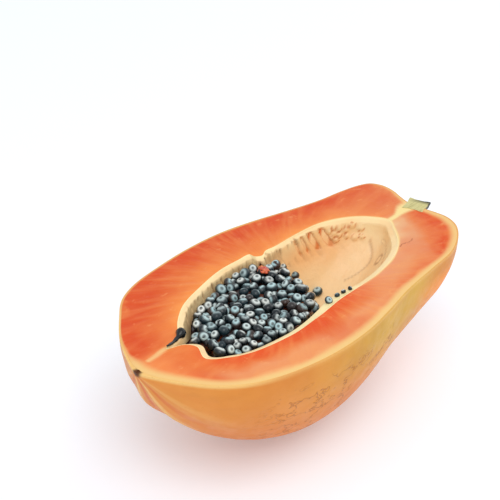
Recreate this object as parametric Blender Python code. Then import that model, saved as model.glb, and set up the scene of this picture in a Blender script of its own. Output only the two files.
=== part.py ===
"""A ripe papaya cut in half lengthwise, lying on its belly with the cut face level.

Metres, +Z up. The origin is at the middle of the footprint, on the surface it rests on.
+X points to the stem end, +Y to the far long side and -Y to the near one.
"""

import math
import random

import bmesh
import bpy
import numpy as np
from mathutils import Euler, Matrix, Vector

MM = 0.001

# The whole piece, from the blossom scar to the end of the stem stub.
CUT_HEIGHT = 76.8 * MM
GAP = 0.3 * MM
CUT_TOLERANCE = 1e-7
CURVE_STEPS = 12
SHARP_ANGLE = math.radians(50.0)

FLESH_COLOUR = (0.80, 0.26, 0.09)
FLESH_ROUGHNESS = 0.45
SEED_COLOUR = (0.012, 0.014, 0.016)
SEED_ROUGHNESS = 0.25
STEM_COLOUR = (0.50, 0.46, 0.20)
STEM_ROUGHNESS = 0.6

# Outlines in millimetres, from the blossom scar to the middle of the stem seat:
# distance along the axis, then distance out from it.
FAR_EDGE = (
    (-111.5, 0.0), (-109.6, 7.1), (-99.4, 24.6), (-85.7, 39.6), (-73.6, 50.4),
    (-59.6, 56.3), (-37.0, 59.6), (-12.9, 60.9), (9.5, 59.4), (29.0, 55.2),
    (54.0, 47.8), (74.0, 42.6), (89.0, 40.3), (102.0, 37.2), (108.6, 33.6),
    (111.3, 27.0), (110.6, 19.0), (107.6, 11.0), (105.4, 4.5), (105.0, 0.0),
)
NEAR_EDGE = (
    (-111.5, 0.0), (-110.4, 7.5), (-102.2, 25.4), (-94.0, 37.3), (-83.8, 46.4),
    (-70.2, 53.2), (-53.3, 57.9), (-34.4, 60.6), (-10.8, 60.4), (10.0, 57.0),
    (33.0, 52.0), (59.0, 48.7), (79.0, 46.0), (93.5, 39.2), (102.9, 30.8),
    (106.6, 22.0), (106.5, 14.0), (105.4, 6.0), (105.0, 0.0),
)
BELLY = (
    (-111.5, 0.0), (-109.6, 8.5), (-100.5, 27.6), (-78.5, 50.8), (-56.5, 66.3),
    (-34.5, 75.2), (-12.5, 78.1), (9.5, 74.9), (31.5, 66.8), (53.5, 57.6),
    (75.5, 49.7), (88.0, 43.6), (98.0, 35.8), (104.0, 28.0), (106.8, 20.0),
    (106.4, 11.0), (105.2, 4.0), (105.0, 0.0),
)

# Low ribs that run back from the blossom scar, and the scar's own button.
RIB_COUNT = 10
RIB_HEIGHT = 1.1 * MM
RIB_CENTRE = 0.13
RIB_SPREAD = 0.09
BUTTON_LENGTH = 1.4 * MM
BUTTON_SPREAD = 0.022

# The seed cavity: its rim on the cut face in millimetres, anticlockwise from the stem end.
CAVITY_RIM = (
    (81.7, -0.7), (76.5, 10.5), (68.0, 18.6), (54.0, 25.2), (38.0, 27.2),
    (19.0, 27.4), (11.5, 28.2), (6.6, 26.2), (3.2, 28.6), (3.0, 32.0),
    (-5.0, 32.6), (-19.0, 32.8), (-38.0, 29.2), (-55.8, 23.8), (-68.0, 15.8),
    (-78.0, 6.6), (-88.9, 3.0), (-80.4, -1.0), (-77.6, -6.5), (-82.0, -16.5),
    (-73.4, -24.6), (-62.0, -30.0), (-38.0, -34.2), (-16.4, -33.2), (2.0, -31.2),
    (31.0, -30.6), (53.6, -25.8), (66.0, -19.0), (76.5, -8.0),
)
CAVITY_CENTRE = (-2.0 * MM, -1.0 * MM)
CAVITY_DEPTH = 41.0 * MM
CAVITY_FULLNESS = 0.62
LEDGE_FAR = 2.0 * MM
LEDGE_NEAR = 6.0 * MM
LEDGE_DROP = 1.6 * MM
CUTTER_RISE = 12.0 * MM

# The stem stub: halved with the fruit, seated in a pocket of its own shape.
STEM_ROOT = Vector((99.5, -3.0, 0.0)) * MM
STEM_END = Vector((111.5, 0.2, 0.0)) * MM
STEM_ROOT_RADIUS = 6.2 * MM
STEM_WAIST_RADIUS = 5.7 * MM
STEM_END_RADIUS = 6.4 * MM
STEM_SIDES = 24
STEM_CUTS = 3
STEM_BEVEL = 0.6 * MM
STEM_BEVEL_STEPS = 2
STEM_BEVEL_REACH = 1.5 * MM
STEM_CORNER = math.radians(60.0)

# The heap of seeds: its bare core, then the seeds on it.
HEAP_CENTRE = (-38.0 * MM, 0.0)
HEAP_LEVEL = -5.3 * MM
HEAP_SWELL = 0.9 * MM
HEAP_SWELL_LENGTH = 34.0 * MM
CREST_MIDDLE = 3.5 * MM
CREST_FAR_SLANT = 0.3
CREST_NEAR_CURVE = 0.028 / MM
CREST_ROUNDING = 4.0 * MM
FOOT_SLOPE = 2.2
HEAP_INSET = 3.6 * MM
SEED_RADIUS = 2.7 * MM
SEED_SPREAD = 0.12
SEED_STRETCH = 1.12
SEED_SINK = 0.25
SEED_TRIES = 6000
SEED_SPACING = 0.93
WALL_CLEARANCE = 1.7 * MM
WALL_TURNS = 12
WALL_DIPS = 4
HEAP_LIMIT = 0.15
HEAP_HALVINGS = 40
EQUATOR = -1e-6
DRAW = 41

# Loose seeds on the cavity wall: their place on the cut plane and radius, in millimetres.
LOOSE_SEEDS = (
    (36.0, 11.5, 2.7), (28.8, 9.0, 2.6), (27.5, 21.0, 2.4), (20.5, 23.5, 2.0),
    (-3.0, -27.6, 2.0), (4.0, -27.4, 1.3), (8.8, -27.6, 1.3), (13.5, -28.2, 1.2),
)
LOOSE_SINK = 0.35
LOOSE_CLEARANCE = 1.0 * MM

BODY_SIDES = 56
BODY_RINGS = 42
CAVITY_SIDES = 48
CAVITY_RINGS = 24
BOWL_SHARE = 10.0 / 12.0
CORE_SIDES = 32
CORE_RINGS = 14
SEED_SIDES = 5
SEED_RINGS = 4
RING_CROWDING = 0.4
SIDE_CROWDING = 0.3


def clear_scene():
    """Starts with nothing in the scene."""
    for item in list(bpy.data.objects):
        bpy.data.objects.remove(item, do_unlink=True)


def material(name, colour, roughness):
    """One plain Principled material."""
    made = bpy.data.materials.new(name)
    made.use_nodes = True
    shader = made.node_tree.nodes["Principled BSDF"]
    shader.inputs["Base Color"].default_value = (*colour, 1.0)
    shader.inputs["Roughness"].default_value = roughness
    shader.inputs["Metallic"].default_value = 0.0
    return made


def node_from(mesh, name, finish):
    """An object of this name made of the bmesh, which it frees."""
    bmesh.ops.recalc_face_normals(mesh, faces=mesh.faces)
    data = bpy.data.meshes.new(name)
    mesh.to_mesh(data)
    mesh.free()
    data.materials.append(finish)
    made = bpy.data.objects.new(name, data)
    bpy.context.scene.collection.objects.link(made)
    return made


def smooth_through(points, closed=False, steps=CURVE_STEPS):
    """Dense points of a centripetal Catmull-Rom curve through the given ones, in metres."""
    knots = np.array(points, float) * MM
    if closed:
        knots = np.vstack([knots[-1:], knots, knots[:2]])
    else:
        before = 2.0 * knots[0] - knots[1]
        after = 2.0 * knots[-1] - knots[-2]
        knots = np.vstack([before, knots, after])
    gaps = np.sqrt(np.linalg.norm(np.diff(knots, axis=0), axis=1))
    times = np.concatenate([[0.0], np.cumsum(gaps)])
    curve = []
    for i in range(1, len(knots) - 2):
        t0, t1, t2, t3 = times[i - 1:i + 3]
        p0, p1, p2, p3 = knots[i - 1:i + 3]
        for t in np.linspace(t1, t2, steps, endpoint=False):
            a1 = (t1 - t) / (t1 - t0) * p0 + (t - t0) / (t1 - t0) * p1
            a2 = (t2 - t) / (t2 - t1) * p1 + (t - t1) / (t2 - t1) * p2
            a3 = (t3 - t) / (t3 - t2) * p2 + (t - t2) / (t3 - t2) * p3
            b1 = (t2 - t) / (t2 - t0) * a1 + (t - t0) / (t2 - t0) * a2
            b2 = (t3 - t) / (t3 - t1) * a2 + (t - t1) / (t3 - t1) * a3
            curve.append((t2 - t) / (t2 - t1) * b1 + (t - t1) / (t2 - t1) * b2)
    if not closed:
        curve.append(knots[-2])
    return np.array(curve)


class Meridian:
    """One lengthwise outline of the fruit, read by its fraction of length."""

    def __init__(self, points):
        self.curve = smooth_through(points)
        steps = np.linalg.norm(np.diff(self.curve, axis=0), axis=1)
        self.fraction = np.concatenate([[0.0], np.cumsum(steps)]) / steps.sum()

    def at(self, fraction):
        """(along the axis, out from it)."""
        along = np.interp(fraction, self.fraction, self.curve[:, 0])
        out = np.interp(fraction, self.fraction, self.curve[:, 1])
        return along, max(out, 0.0)


FAR = Meridian(FAR_EDGE)
NEAR = Meridian(NEAR_EDGE)
UNDER = Meridian(BELLY)


def skin_point(fraction, turn):
    """A point of the skin: turn is 0 at the far edge and -pi at the near edge."""
    side = FAR if math.cos(turn) > 0.0 else NEAR
    side_along, side_out = side.at(fraction)
    under_along, under_out = UNDER.at(fraction)
    level = math.cos(turn) ** 2
    rib = RIB_HEIGHT * math.exp(-((fraction - RIB_CENTRE) / RIB_SPREAD) ** 2)
    rib *= math.cos(RIB_COUNT * turn) * math.sin(turn) ** 2
    button = BUTTON_LENGTH * math.exp(-((fraction / BUTTON_SPREAD) ** 2))
    x = level * side_along + (1.0 - level) * under_along - button
    y = math.cos(turn) * (side_out + rib)
    z = math.sin(turn) * (under_out + rib)
    return x, y, CUT_HEIGHT + z


def rim_radius():
    """The cavity rim as a function: the distance from its centre in each direction."""
    curve = smooth_through(CAVITY_RIM, closed=True) - np.array(CAVITY_CENTRE)
    angles = np.arctan2(curve[:, 1], curve[:, 0])
    order = np.argsort(angles)
    angles = angles[order]
    reach = np.hypot(curve[:, 0], curve[:, 1])[order]
    return lambda angle: float(np.interp(angle, angles, reach, period=2.0 * math.pi))


RIM = rim_radius()


def ledge_width(angle):
    """The pale ledge inside the rim is widest along the near side."""
    return LEDGE_FAR + (LEDGE_NEAR - LEDGE_FAR) * (0.5 - 0.5 * math.sin(angle))


def wall_level(x, y, inset=0.0):
    """Height of the cavity wall over a place, from the cut plane down."""
    dx = x - CAVITY_CENTRE[0]
    dy = y - CAVITY_CENTRE[1]
    angle = math.atan2(dy, dx)
    out = math.hypot(dx, dy)
    reach = RIM(angle) - inset
    ledge = ledge_width(angle)
    if out >= reach:
        return 0.0
    if out >= reach - ledge:
        return -LEDGE_DROP * (reach - out) / ledge
    share = out / (reach - ledge)
    bowl = (CAVITY_DEPTH - LEDGE_DROP - inset) * (1.0 - share ** 2) ** CAVITY_FULLNESS
    return -LEDGE_DROP - bowl


def heap_level(x, y):
    """Height of the heap's bare core over a place, from the cut plane down."""
    level = HEAP_LEVEL + HEAP_SWELL * math.sin(x / HEAP_SWELL_LENGTH * math.pi) * math.cos(
        y / HEAP_SWELL_LENGTH * math.pi
    )
    crest = CREST_MIDDLE + (CREST_FAR_SLANT * y if y > 0.0 else -CREST_NEAR_CURVE * y * y)
    over = max(x - crest, 0.0)
    return level - FOOT_SLOPE * over * min(1.0, over / CREST_ROUNDING)


def warped(fraction):
    """Moves the rings closer together towards both ends."""
    return fraction - RING_CROWDING * math.sin(2.0 * math.pi * fraction) / (2.0 * math.pi)


def end_warped(angle):
    """Turns the sides towards the two ends of a long hollow, where its rim bends most."""
    return angle - SIDE_CROWDING * math.sin(2.0 * angle)


def fill_open_edges(mesh):
    """Closes the flat face that a cut leaves open."""
    open_edges = [edge for edge in mesh.edges if edge.is_boundary]
    bmesh.ops.holes_fill(mesh, edges=open_edges, sides=0)


def build_flesh(finish):
    """The whole fruit, halved at the cut plane and flattened a little where it rests."""
    mesh = bmesh.new()
    bmesh.ops.create_uvsphere(mesh, u_segments=BODY_SIDES, v_segments=BODY_RINGS, radius=1.0)
    for vert in mesh.verts:
        polar = math.acos(max(-1.0, min(1.0, vert.co.z)))
        turn = math.atan2(vert.co.y, vert.co.x)
        vert.co = skin_point(warped(1.0 - polar / math.pi), turn)
    for height, upward in ((CUT_HEIGHT, 1.0), (0.0, -1.0)):
        everything = mesh.verts[:] + mesh.edges[:] + mesh.faces[:]
        bmesh.ops.bisect_plane(
            mesh, geom=everything, dist=CUT_TOLERANCE, plane_co=(0.0, 0.0, height),
            plane_no=(0.0, 0.0, upward), clear_outer=True,
        )
        fill_open_edges(mesh)
    return node_from(mesh, "fruit", finish)


def build_cavity_cutter(finish):
    """The hollow that held the seeds, closed by a low dome over the cut face."""
    mesh = bmesh.new()
    bmesh.ops.create_uvsphere(
        mesh, u_segments=CAVITY_SIDES, v_segments=CAVITY_RINGS, radius=1.0,
    )
    for vert in mesh.verts:
        angle = end_warped(math.atan2(vert.co.y, vert.co.x))
        ledge = ledge_width(angle)
        down = math.acos(max(-1.0, min(1.0, -vert.co.z))) / (math.pi / 2.0)
        if down > 1.0:
            out = RIM(angle) * math.sin(down * math.pi / 2.0)
            drop = CUTTER_RISE * vert.co.z
        elif down > BOWL_SHARE:
            rise = (down - BOWL_SHARE) / (1.0 - BOWL_SHARE)
            out = RIM(angle) - ledge * (1.0 - rise)
            drop = -LEDGE_DROP * (1.0 - rise)
        else:
            turn = down / BOWL_SHARE * math.pi / 2.0
            out = (RIM(angle) - ledge) * math.sin(turn)
            bowl = math.cos(turn) ** (2.0 * CAVITY_FULLNESS)
            drop = -LEDGE_DROP - (CAVITY_DEPTH - LEDGE_DROP) * bowl
        x = CAVITY_CENTRE[0] + out * math.cos(angle)
        y = CAVITY_CENTRE[1] + out * math.sin(angle)
        vert.co = (x, y, CUT_HEIGHT + drop)
    return as_cutter(node_from(mesh, "cavity_cutter", finish))


def stem_body(grown):
    """The stub as a full round, from its root in the fruit to its end."""
    mesh = bmesh.new()
    length = (STEM_END - STEM_ROOT).length + 2.0 * grown
    bmesh.ops.create_cone(
        mesh, cap_ends=True, segments=STEM_SIDES, depth=length,
        radius1=STEM_ROOT_RADIUS + grown, radius2=STEM_END_RADIUS + grown,
    )
    long_edges = [edge for edge in mesh.edges if abs(edge.verts[0].co.z - edge.verts[1].co.z) > MM]
    bmesh.ops.subdivide_edges(mesh, edges=long_edges, cuts=STEM_CUTS, use_grid_fill=False)
    waist = STEM_WAIST_RADIUS + grown
    for vert in mesh.verts:
        middle = 1.0 - (2.0 * vert.co.z / length) ** 2
        around = Vector((vert.co.x, vert.co.y, 0.0))
        pull = middle * (1.0 - waist / max(around.length, waist))
        vert.co -= around * pull
    turned = (STEM_END - STEM_ROOT).to_track_quat("Z", "Y").to_matrix().to_4x4()
    middle = (STEM_END + STEM_ROOT) / 2.0 + Vector((0.0, 0.0, CUT_HEIGHT))
    bmesh.ops.transform(mesh, matrix=Matrix.Translation(middle) @ turned, verts=mesh.verts)
    return mesh


def build_stem(finish):
    """The stub, halved at the cut plane, with its free end softened."""
    mesh = stem_body(0.0)
    end_edges = [
        edge for edge in mesh.edges
        if min(vert.co.x for vert in edge.verts) > STEM_END.x - STEM_BEVEL_REACH
        and len(edge.link_faces) == 2
        and edge.calc_face_angle() > STEM_CORNER
    ]
    bmesh.ops.bevel(
        mesh, geom=end_edges, offset=STEM_BEVEL, offset_type="OFFSET", segments=STEM_BEVEL_STEPS,
        profile=0.5, affect="EDGES", material=-1,
    )
    everything = mesh.verts[:] + mesh.edges[:] + mesh.faces[:]
    bmesh.ops.bisect_plane(
        mesh, geom=everything, dist=CUT_TOLERANCE, plane_co=(0.0, 0.0, CUT_HEIGHT),
        plane_no=(0.0, 0.0, 1.0), clear_outer=True,
    )
    fill_open_edges(mesh)
    return node_from(mesh, "stem", finish)


def seed_object(centre, radius, draw, finish, group):
    """One seed as a low ellipsoid, turned at random."""
    mesh = bmesh.new()
    bmesh.ops.create_uvsphere(mesh, u_segments=SEED_SIDES, v_segments=SEED_RINGS, radius=radius)
    stretch = Matrix.Diagonal((1.0, 1.0, SEED_STRETCH, 1.0))
    turn = Euler([draw.uniform(0.0, math.tau) for _ in range(3)]).to_matrix().to_4x4()
    place = Matrix.Translation(centre)
    bmesh.ops.transform(mesh, matrix=place @ turn @ stretch, verts=mesh.verts)
    made = node_from(mesh, "seed", finish)
    bpy.context.scene.collection.objects.unlink(made)
    group.objects.link(made)
    return made


def heap_reach(angle):
    """How far the bare core reaches from its centre in one direction, on the cut plane."""
    low = 0.0
    high = HEAP_LIMIT
    for _ in range(HEAP_HALVINGS):
        middle = (low + high) / 2.0
        x = HEAP_CENTRE[0] + middle * math.cos(angle)
        y = HEAP_CENTRE[1] + middle * math.sin(angle)
        if wall_level(x, y, HEAP_INSET) < heap_level(x, y):
            low = middle
        else:
            high = middle
    return low


def build_core(finish):
    """The heap without its seeds: the cavity's form below, the heap's surface above."""
    mesh = bmesh.new()
    bmesh.ops.create_uvsphere(mesh, u_segments=CORE_SIDES, v_segments=CORE_RINGS, radius=1.0)
    for vert in mesh.verts:
        share = min(math.hypot(vert.co.x, vert.co.y), 1.0)
        angle = end_warped(math.atan2(vert.co.y, vert.co.x))
        reach = heap_reach(angle) * share
        x = HEAP_CENTRE[0] + reach * math.cos(angle)
        y = HEAP_CENTRE[1] + reach * math.sin(angle)
        above = vert.co.z > EQUATOR
        level = heap_level(x, y) if above else wall_level(x, y, HEAP_INSET)
        vert.co = (x, y, CUT_HEIGHT + level)
    return node_from(mesh, "seeds", finish)


def clear_of_wall(centre, radius):
    """Whether a ball here stays off the cavity wall."""
    reach = radius * SEED_STRETCH + WALL_CLEARANCE
    for turn in range(WALL_TURNS):
        around = turn * math.tau / WALL_TURNS
        for dip in range(WALL_DIPS):
            down = dip * math.pi / (2.0 * WALL_DIPS)
            x = centre[0] + reach * math.cos(down) * math.cos(around)
            y = centre[1] + reach * math.cos(down) * math.sin(around)
            z = centre[2] - reach * math.sin(down)
            if z < CUT_HEIGHT + wall_level(x, y):
                return False
    return True


def heap_places(loose):
    """Centres and radii of the seeds on the heap, drawn at random and kept apart."""
    draw = random.Random(DRAW)
    places = []
    for _ in range(SEED_TRIES):
        angle = draw.uniform(-math.pi, math.pi)
        reach = heap_reach(angle) * math.sqrt(draw.random())
        x = HEAP_CENTRE[0] + reach * math.cos(angle)
        y = HEAP_CENTRE[1] + reach * math.sin(angle)
        radius = SEED_RADIUS * (1.0 + draw.uniform(-SEED_SPREAD, SEED_SPREAD))
        z = CUT_HEIGHT + heap_level(x, y) + radius * (1.0 - 2.0 * SEED_SINK)
        centre = Vector((x, y, z))
        apart = all(
            (centre - other).length > SEED_SPACING * (radius + other_radius)
            for other, other_radius in places
        )
        off_loose = all(
            (centre - other).length > radius * SEED_STRETCH + other_radius + LOOSE_CLEARANCE
            for other, other_radius in loose
        )
        if apart and off_loose and clear_of_wall(centre, radius):
            places.append((centre, radius))
    return places


def loose_places():
    """Centres and radii of the loose seeds, partly sunk in the cavity wall."""
    places = []
    for x_mm, y_mm, radius_mm in LOOSE_SEEDS:
        x = x_mm * MM
        y = y_mm * MM
        radius = radius_mm * MM
        z = CUT_HEIGHT + wall_level(x, y) + radius * (1.0 - 2.0 * LOOSE_SINK)
        places.append((Vector((x, y, z)), radius))
    return places


def as_cutter(cutter):
    """Marks a form that only takes material away."""
    cutter.hide_render = True
    cutter.display_type = "WIRE"
    return cutter


def apply_boolean(target, operation, cutter=None, group=None):
    """Cuts or joins for good, then removes what was used for it."""
    step = target.modifiers.new(operation.title(), "BOOLEAN")
    step.operation = operation
    step.solver = "EXACT"
    if group is None:
        step.object = cutter
        used = [cutter]
    else:
        step.operand_type = "COLLECTION"
        step.collection = group
        used = list(group.objects)
    graph = bpy.context.evaluated_depsgraph_get()
    result = bpy.data.meshes.new_from_object(target.evaluated_get(graph))
    target.modifiers.clear()
    target.data = result
    for item in used:
        bpy.data.objects.remove(item, do_unlink=True)
    if group is not None:
        bpy.data.collections.remove(group)


def keep_largest_body(target):
    """Drops loose scraps, and fills hollows that the join sealed."""
    mesh = bmesh.new()
    mesh.from_mesh(target.data)
    waiting = set(mesh.verts)
    bodies = []
    while waiting:
        body = set()
        front = [waiting.pop()]
        while front:
            vert = front.pop()
            body.add(vert)
            near = [edge.other_vert(vert) for edge in vert.link_edges]
            front += [other for other in near if other in waiting]
            waiting.difference_update(near)
        bodies.append(body)
    bodies.sort(key=len, reverse=True)
    for body in bodies[1:]:
        bmesh.ops.delete(mesh, geom=list(body), context="VERTS")
    mesh.to_mesh(target.data)
    mesh.free()


def seed_group(name):
    """An empty group for loose single seeds."""
    group = bpy.data.collections.new(name)
    bpy.context.scene.collection.children.link(group)
    return group


def main():
    """Builds the fruit, its heap of seeds and its stem stub."""
    clear_scene()
    flesh = material("orange flesh", FLESH_COLOUR, FLESH_ROUGHNESS)
    seed_black = material("black seeds", SEED_COLOUR, SEED_ROUGHNESS)
    stem_green = material("pale green stem", STEM_COLOUR, STEM_ROUGHNESS)
    draw = random.Random(DRAW)

    fruit = build_flesh(flesh)
    apply_boolean(fruit, "DIFFERENCE", cutter=build_cavity_cutter(flesh))
    pocket = as_cutter(node_from(stem_body(GAP), "stem_pocket", stem_green))
    apply_boolean(fruit, "DIFFERENCE", cutter=pocket)
    loose = loose_places()
    loose_group = seed_group("loose_seeds")
    for centre, radius in loose:
        seed_object(centre, radius, draw, seed_black, loose_group)
    apply_boolean(fruit, "UNION", group=loose_group)
    keep_largest_body(fruit)

    seeds = build_core(seed_black)
    heap = seed_group("heap_seeds")
    for centre, radius in heap_places(loose):
        seed_object(centre, radius, draw, seed_black, heap)
    apply_boolean(seeds, "UNION", group=heap)
    keep_largest_body(seeds)

    stem = build_stem(stem_green)
    for node in (fruit, seeds, stem):
        node.data.shade_smooth()
        node.data.set_sharp_from_angle(angle=SHARP_ANGLE)


main()
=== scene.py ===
"""Looks for a ripe papaya half lying on its belly with the cut face level.

Metres, +Z up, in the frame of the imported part: +X points to the stem end, and the far long
side is at +Y. The skin, the flesh, the lining, the heap and the stem are each a class that
builds closed meshes from the fruit's outlines and dresses them with procedural finishes.
"""

import logging
import math
import random
from dataclasses import dataclass, field
from enum import Enum

import bmesh
import bpy
import numpy as np
from bpy.types import Material, Mesh, Node, NodeSocket, Object
from mathutils import Euler, Matrix, Vector, noise


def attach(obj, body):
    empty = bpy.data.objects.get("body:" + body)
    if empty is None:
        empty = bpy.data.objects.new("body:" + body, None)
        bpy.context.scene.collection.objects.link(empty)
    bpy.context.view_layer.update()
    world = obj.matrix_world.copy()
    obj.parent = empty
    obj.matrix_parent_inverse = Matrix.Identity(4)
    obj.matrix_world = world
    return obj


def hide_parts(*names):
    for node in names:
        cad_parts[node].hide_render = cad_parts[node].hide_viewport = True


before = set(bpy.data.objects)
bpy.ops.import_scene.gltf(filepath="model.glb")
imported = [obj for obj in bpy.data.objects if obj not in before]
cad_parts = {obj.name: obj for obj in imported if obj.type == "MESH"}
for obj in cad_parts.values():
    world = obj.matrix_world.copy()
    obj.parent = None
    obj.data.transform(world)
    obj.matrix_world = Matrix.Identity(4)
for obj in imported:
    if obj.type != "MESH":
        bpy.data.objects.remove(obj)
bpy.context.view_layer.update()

MM = 0.001
PHOTO_SIDE = 500
LOG = logging.getLogger("papaya_half")

Array = np.ndarray
Span = tuple[float, float]
Triple = tuple[float, float, float]
Shade = tuple[int, int, int]
Knots = tuple[Span, ...]
Stops = tuple[tuple[float, Shade], ...]
Layers = tuple[tuple[str, Shade], ...]


class Slot(Enum):
    """The material slots of the record."""

    FLESH = "flesh"
    SKIN = "skin"
    LINING = "lining"
    PULP = "pulp"
    SEED = "seed"
    STEM = "stem"


def srgb(red: int, green: int, blue: int) -> tuple[float, float, float, float]:
    """Turns a display colour into the linear colour that a shader takes.

    Args:
        red: Red from 0 to 255.
        green: Green from 0 to 255.
        blue: Blue from 0 to 255.

    Returns:
        The linear colour with full alpha.
    """
    shares = [value / 255.0 for value in (red, green, blue)]
    linear = [s / 12.92 if s <= 0.04045 else ((s + 0.055) / 1.055) ** 2.4 for s in shares]
    return (*linear, 1.0)


def smooth_step(value: Array, low: float, high: float) -> Array:
    """Rises smoothly from 0 at low to 1 at high.

    Args:
        value: The numbers to map.
        low: Where the rise starts.
        high: Where the rise ends; it may be below low.

    Returns:
        Shares from 0 to 1.
    """
    share = np.clip((value - low) / (high - low), 0.0, 1.0)
    return share * share * (3.0 - 2.0 * share)


def fade(value: Array, low: float, high: float) -> Array:
    """Returns smooth_step of a distance in metres between two bounds in millimetres."""
    return smooth_step(value, low * MM, high * MM)


def part_way(first: Array, last: Array, start: float, end: float, time: float) -> Array:
    """Returns the point that lies between two others as a time does between theirs."""
    return (end - time) / (end - start) * first + (time - start) / (end - start) * last


def smooth_through(points: Knots, closed: bool = False, steps: int = 12) -> Array:
    """Runs a centripetal Catmull-Rom curve through the given points.

    Args:
        points: Points in millimetres.
        closed: Whether the last point joins the first.
        steps: Points made for each span.

    Returns:
        Dense points in metres, one a row.
    """
    knots = np.array(points, float) * MM
    if closed:
        knots = np.vstack([knots[-1:], knots, knots[:2]])
    else:
        knots = np.vstack([2.0 * knots[0] - knots[1], knots, 2.0 * knots[-1] - knots[-2]])
    gaps = np.sqrt(np.linalg.norm(np.diff(knots, axis=0), axis=1))
    times = np.concatenate([[0.0], np.cumsum(gaps)])
    curve = []
    for i in range(1, len(knots) - 2):
        near, moments = knots[i - 1:i + 3], times[i - 1:i + 3]
        for time in np.linspace(moments[1], moments[2], steps, endpoint=False):
            row = near
            for span in (1, 2):
                row = [part_way(row[k], row[k + 1], moments[k], moments[k + span], time)
                       for k in range(len(row) - 1)]
            curve.append(part_way(row[0], row[1], moments[1], moments[2], time))
    if not closed:
        curve.append(knots[-2])
    return np.array(curve)


def noise_at(points: Array, scale: float, shift: float = 0.0) -> Array:
    """Reads smooth noise at each point.

    Args:
        points: Points in metres, one a row.
        scale: Bumps for each metre.
        shift: Moves the pattern, so that two layers differ.

    Returns:
        Values from about -1 to 1.
    """
    offset = Vector((shift, shift * 1.7, -shift))
    return np.array([noise.noise(Vector(point) * scale + offset) for point in points])


@dataclass
class Meridian:
    """One lengthwise outline of the fruit, read by its fraction of length."""

    points: Knots
    curve: Array = field(init=False)
    fraction: Array = field(init=False)

    def __post_init__(self) -> None:
        """Works out the dense curve and how far along it each point is."""
        self.curve = smooth_through(self.points)
        steps = np.linalg.norm(np.diff(self.curve, axis=0), axis=1)
        self.fraction = np.concatenate([[0.0], np.cumsum(steps)]) / steps.sum()

    def at(self, fraction: Array) -> tuple[Array, Array]:
        """Finds the outline at these fractions of its length.

        Args:
            fraction: Fractions, 0 at the blossom scar.

        Returns:
            The distances along and out from the axis.
        """
        along = np.interp(fraction, self.fraction, self.curve[:, 0])
        out = np.interp(fraction, self.fraction, self.curve[:, 1])
        return along, np.maximum(out, 0.0)

    def out_at(self, along: Array) -> Array:
        """Returns the distance out from the axis at a distance along it."""
        last = int(np.argmax(self.curve[:, 0])) + 1
        return np.interp(along, self.curve[:last, 0], self.curve[:last, 1], left=0.0, right=0.0)


@dataclass
class FruitForm:
    """The outer form of the half, before any surface detail."""

    far: Meridian = field(default_factory=lambda: Meridian((
        (-111.5, 0.0), (-109.6, 7.1), (-99.4, 24.6), (-85.7, 39.6), (-73.6, 50.4),
        (-59.6, 56.3), (-37.0, 59.6), (-12.9, 60.9), (9.5, 59.4), (29.0, 55.2),
        (54.0, 47.8), (74.0, 42.6), (89.0, 40.3), (102.0, 37.2), (108.6, 33.6),
        (111.3, 27.0), (110.6, 19.0), (107.6, 11.0), (105.4, 4.5), (105.0, 0.0),
    )))
    near: Meridian = field(default_factory=lambda: Meridian((
        (-111.5, 0.0), (-110.4, 7.5), (-102.2, 25.4), (-94.0, 37.3), (-83.8, 46.4),
        (-70.2, 53.2), (-53.3, 57.9), (-34.4, 60.6), (-10.8, 60.4), (10.0, 57.0),
        (33.0, 52.0), (59.0, 48.7), (79.0, 46.0), (93.5, 39.2), (102.9, 30.8),
        (106.6, 22.0), (106.5, 14.0), (105.4, 6.0), (105.0, 0.0),
    )))
    belly: Meridian = field(default_factory=lambda: Meridian((
        (-111.5, 0.0), (-109.6, 8.5), (-100.5, 27.6), (-78.5, 50.8), (-56.5, 66.3),
        (-34.5, 75.2), (-12.5, 78.1), (9.5, 74.9), (31.5, 66.8), (53.5, 57.6),
        (75.5, 49.7), (88.0, 43.6), (98.0, 35.8), (104.0, 28.0), (106.8, 20.0),
        (106.4, 11.0), (105.2, 4.0), (105.0, 0.0),
    )))
    cut_height: float = 76.8 * MM
    rib_count: int = 10
    rib_height: float = 1.1 * MM
    rib_centre: float = 0.13
    rib_spread: float = 0.09
    button_length: float = 1.4 * MM
    button_spread: float = 0.022

    def skin(self, fraction: Array, turn: Array) -> Array:
        """Finds points of the skin.

        Args:
            fraction: 0 at the blossom scar and 1 at the stem seat.
            turn: 0 at the far edge, -pi at the near edge.

        Returns:
            Points in metres, one a row.
        """
        far_along, far_out = self.far.at(fraction)
        near_along, near_out = self.near.at(fraction)
        under_along, under_out = self.belly.at(fraction)
        on_far = np.cos(turn) > 0.0
        side_along = np.where(on_far, far_along, near_along)
        side_out = np.where(on_far, far_out, near_out)
        level = np.cos(turn) ** 2
        rib = self.rib_height * np.exp(-((fraction - self.rib_centre) / self.rib_spread) ** 2)
        rib = rib * np.cos(self.rib_count * turn) * np.sin(turn) ** 2
        button = self.button_length * np.exp(-((fraction / self.button_spread) ** 2))
        x = level * side_along + (1.0 - level) * under_along - button
        y = np.cos(turn) * (side_out + rib)
        z = self.cut_height + np.sin(turn) * (under_out + rib)
        return np.column_stack([x, y, z])

    def depth_under(self, x: Array, y: Array) -> Array:
        """Finds how far the skin lies below the cut plane.

        Args:
            x: Distances along the fruit.
            y: Distances across it.

        Returns:
            The depths.
        """
        side = np.where(y > 0.0, self.far.out_at(x), self.near.out_at(x))
        share = np.clip(np.abs(y) / np.maximum(side, 1e-6), 0.0, 1.0)
        return self.belly.out_at(x) * np.sqrt(1.0 - share ** 2)


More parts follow.
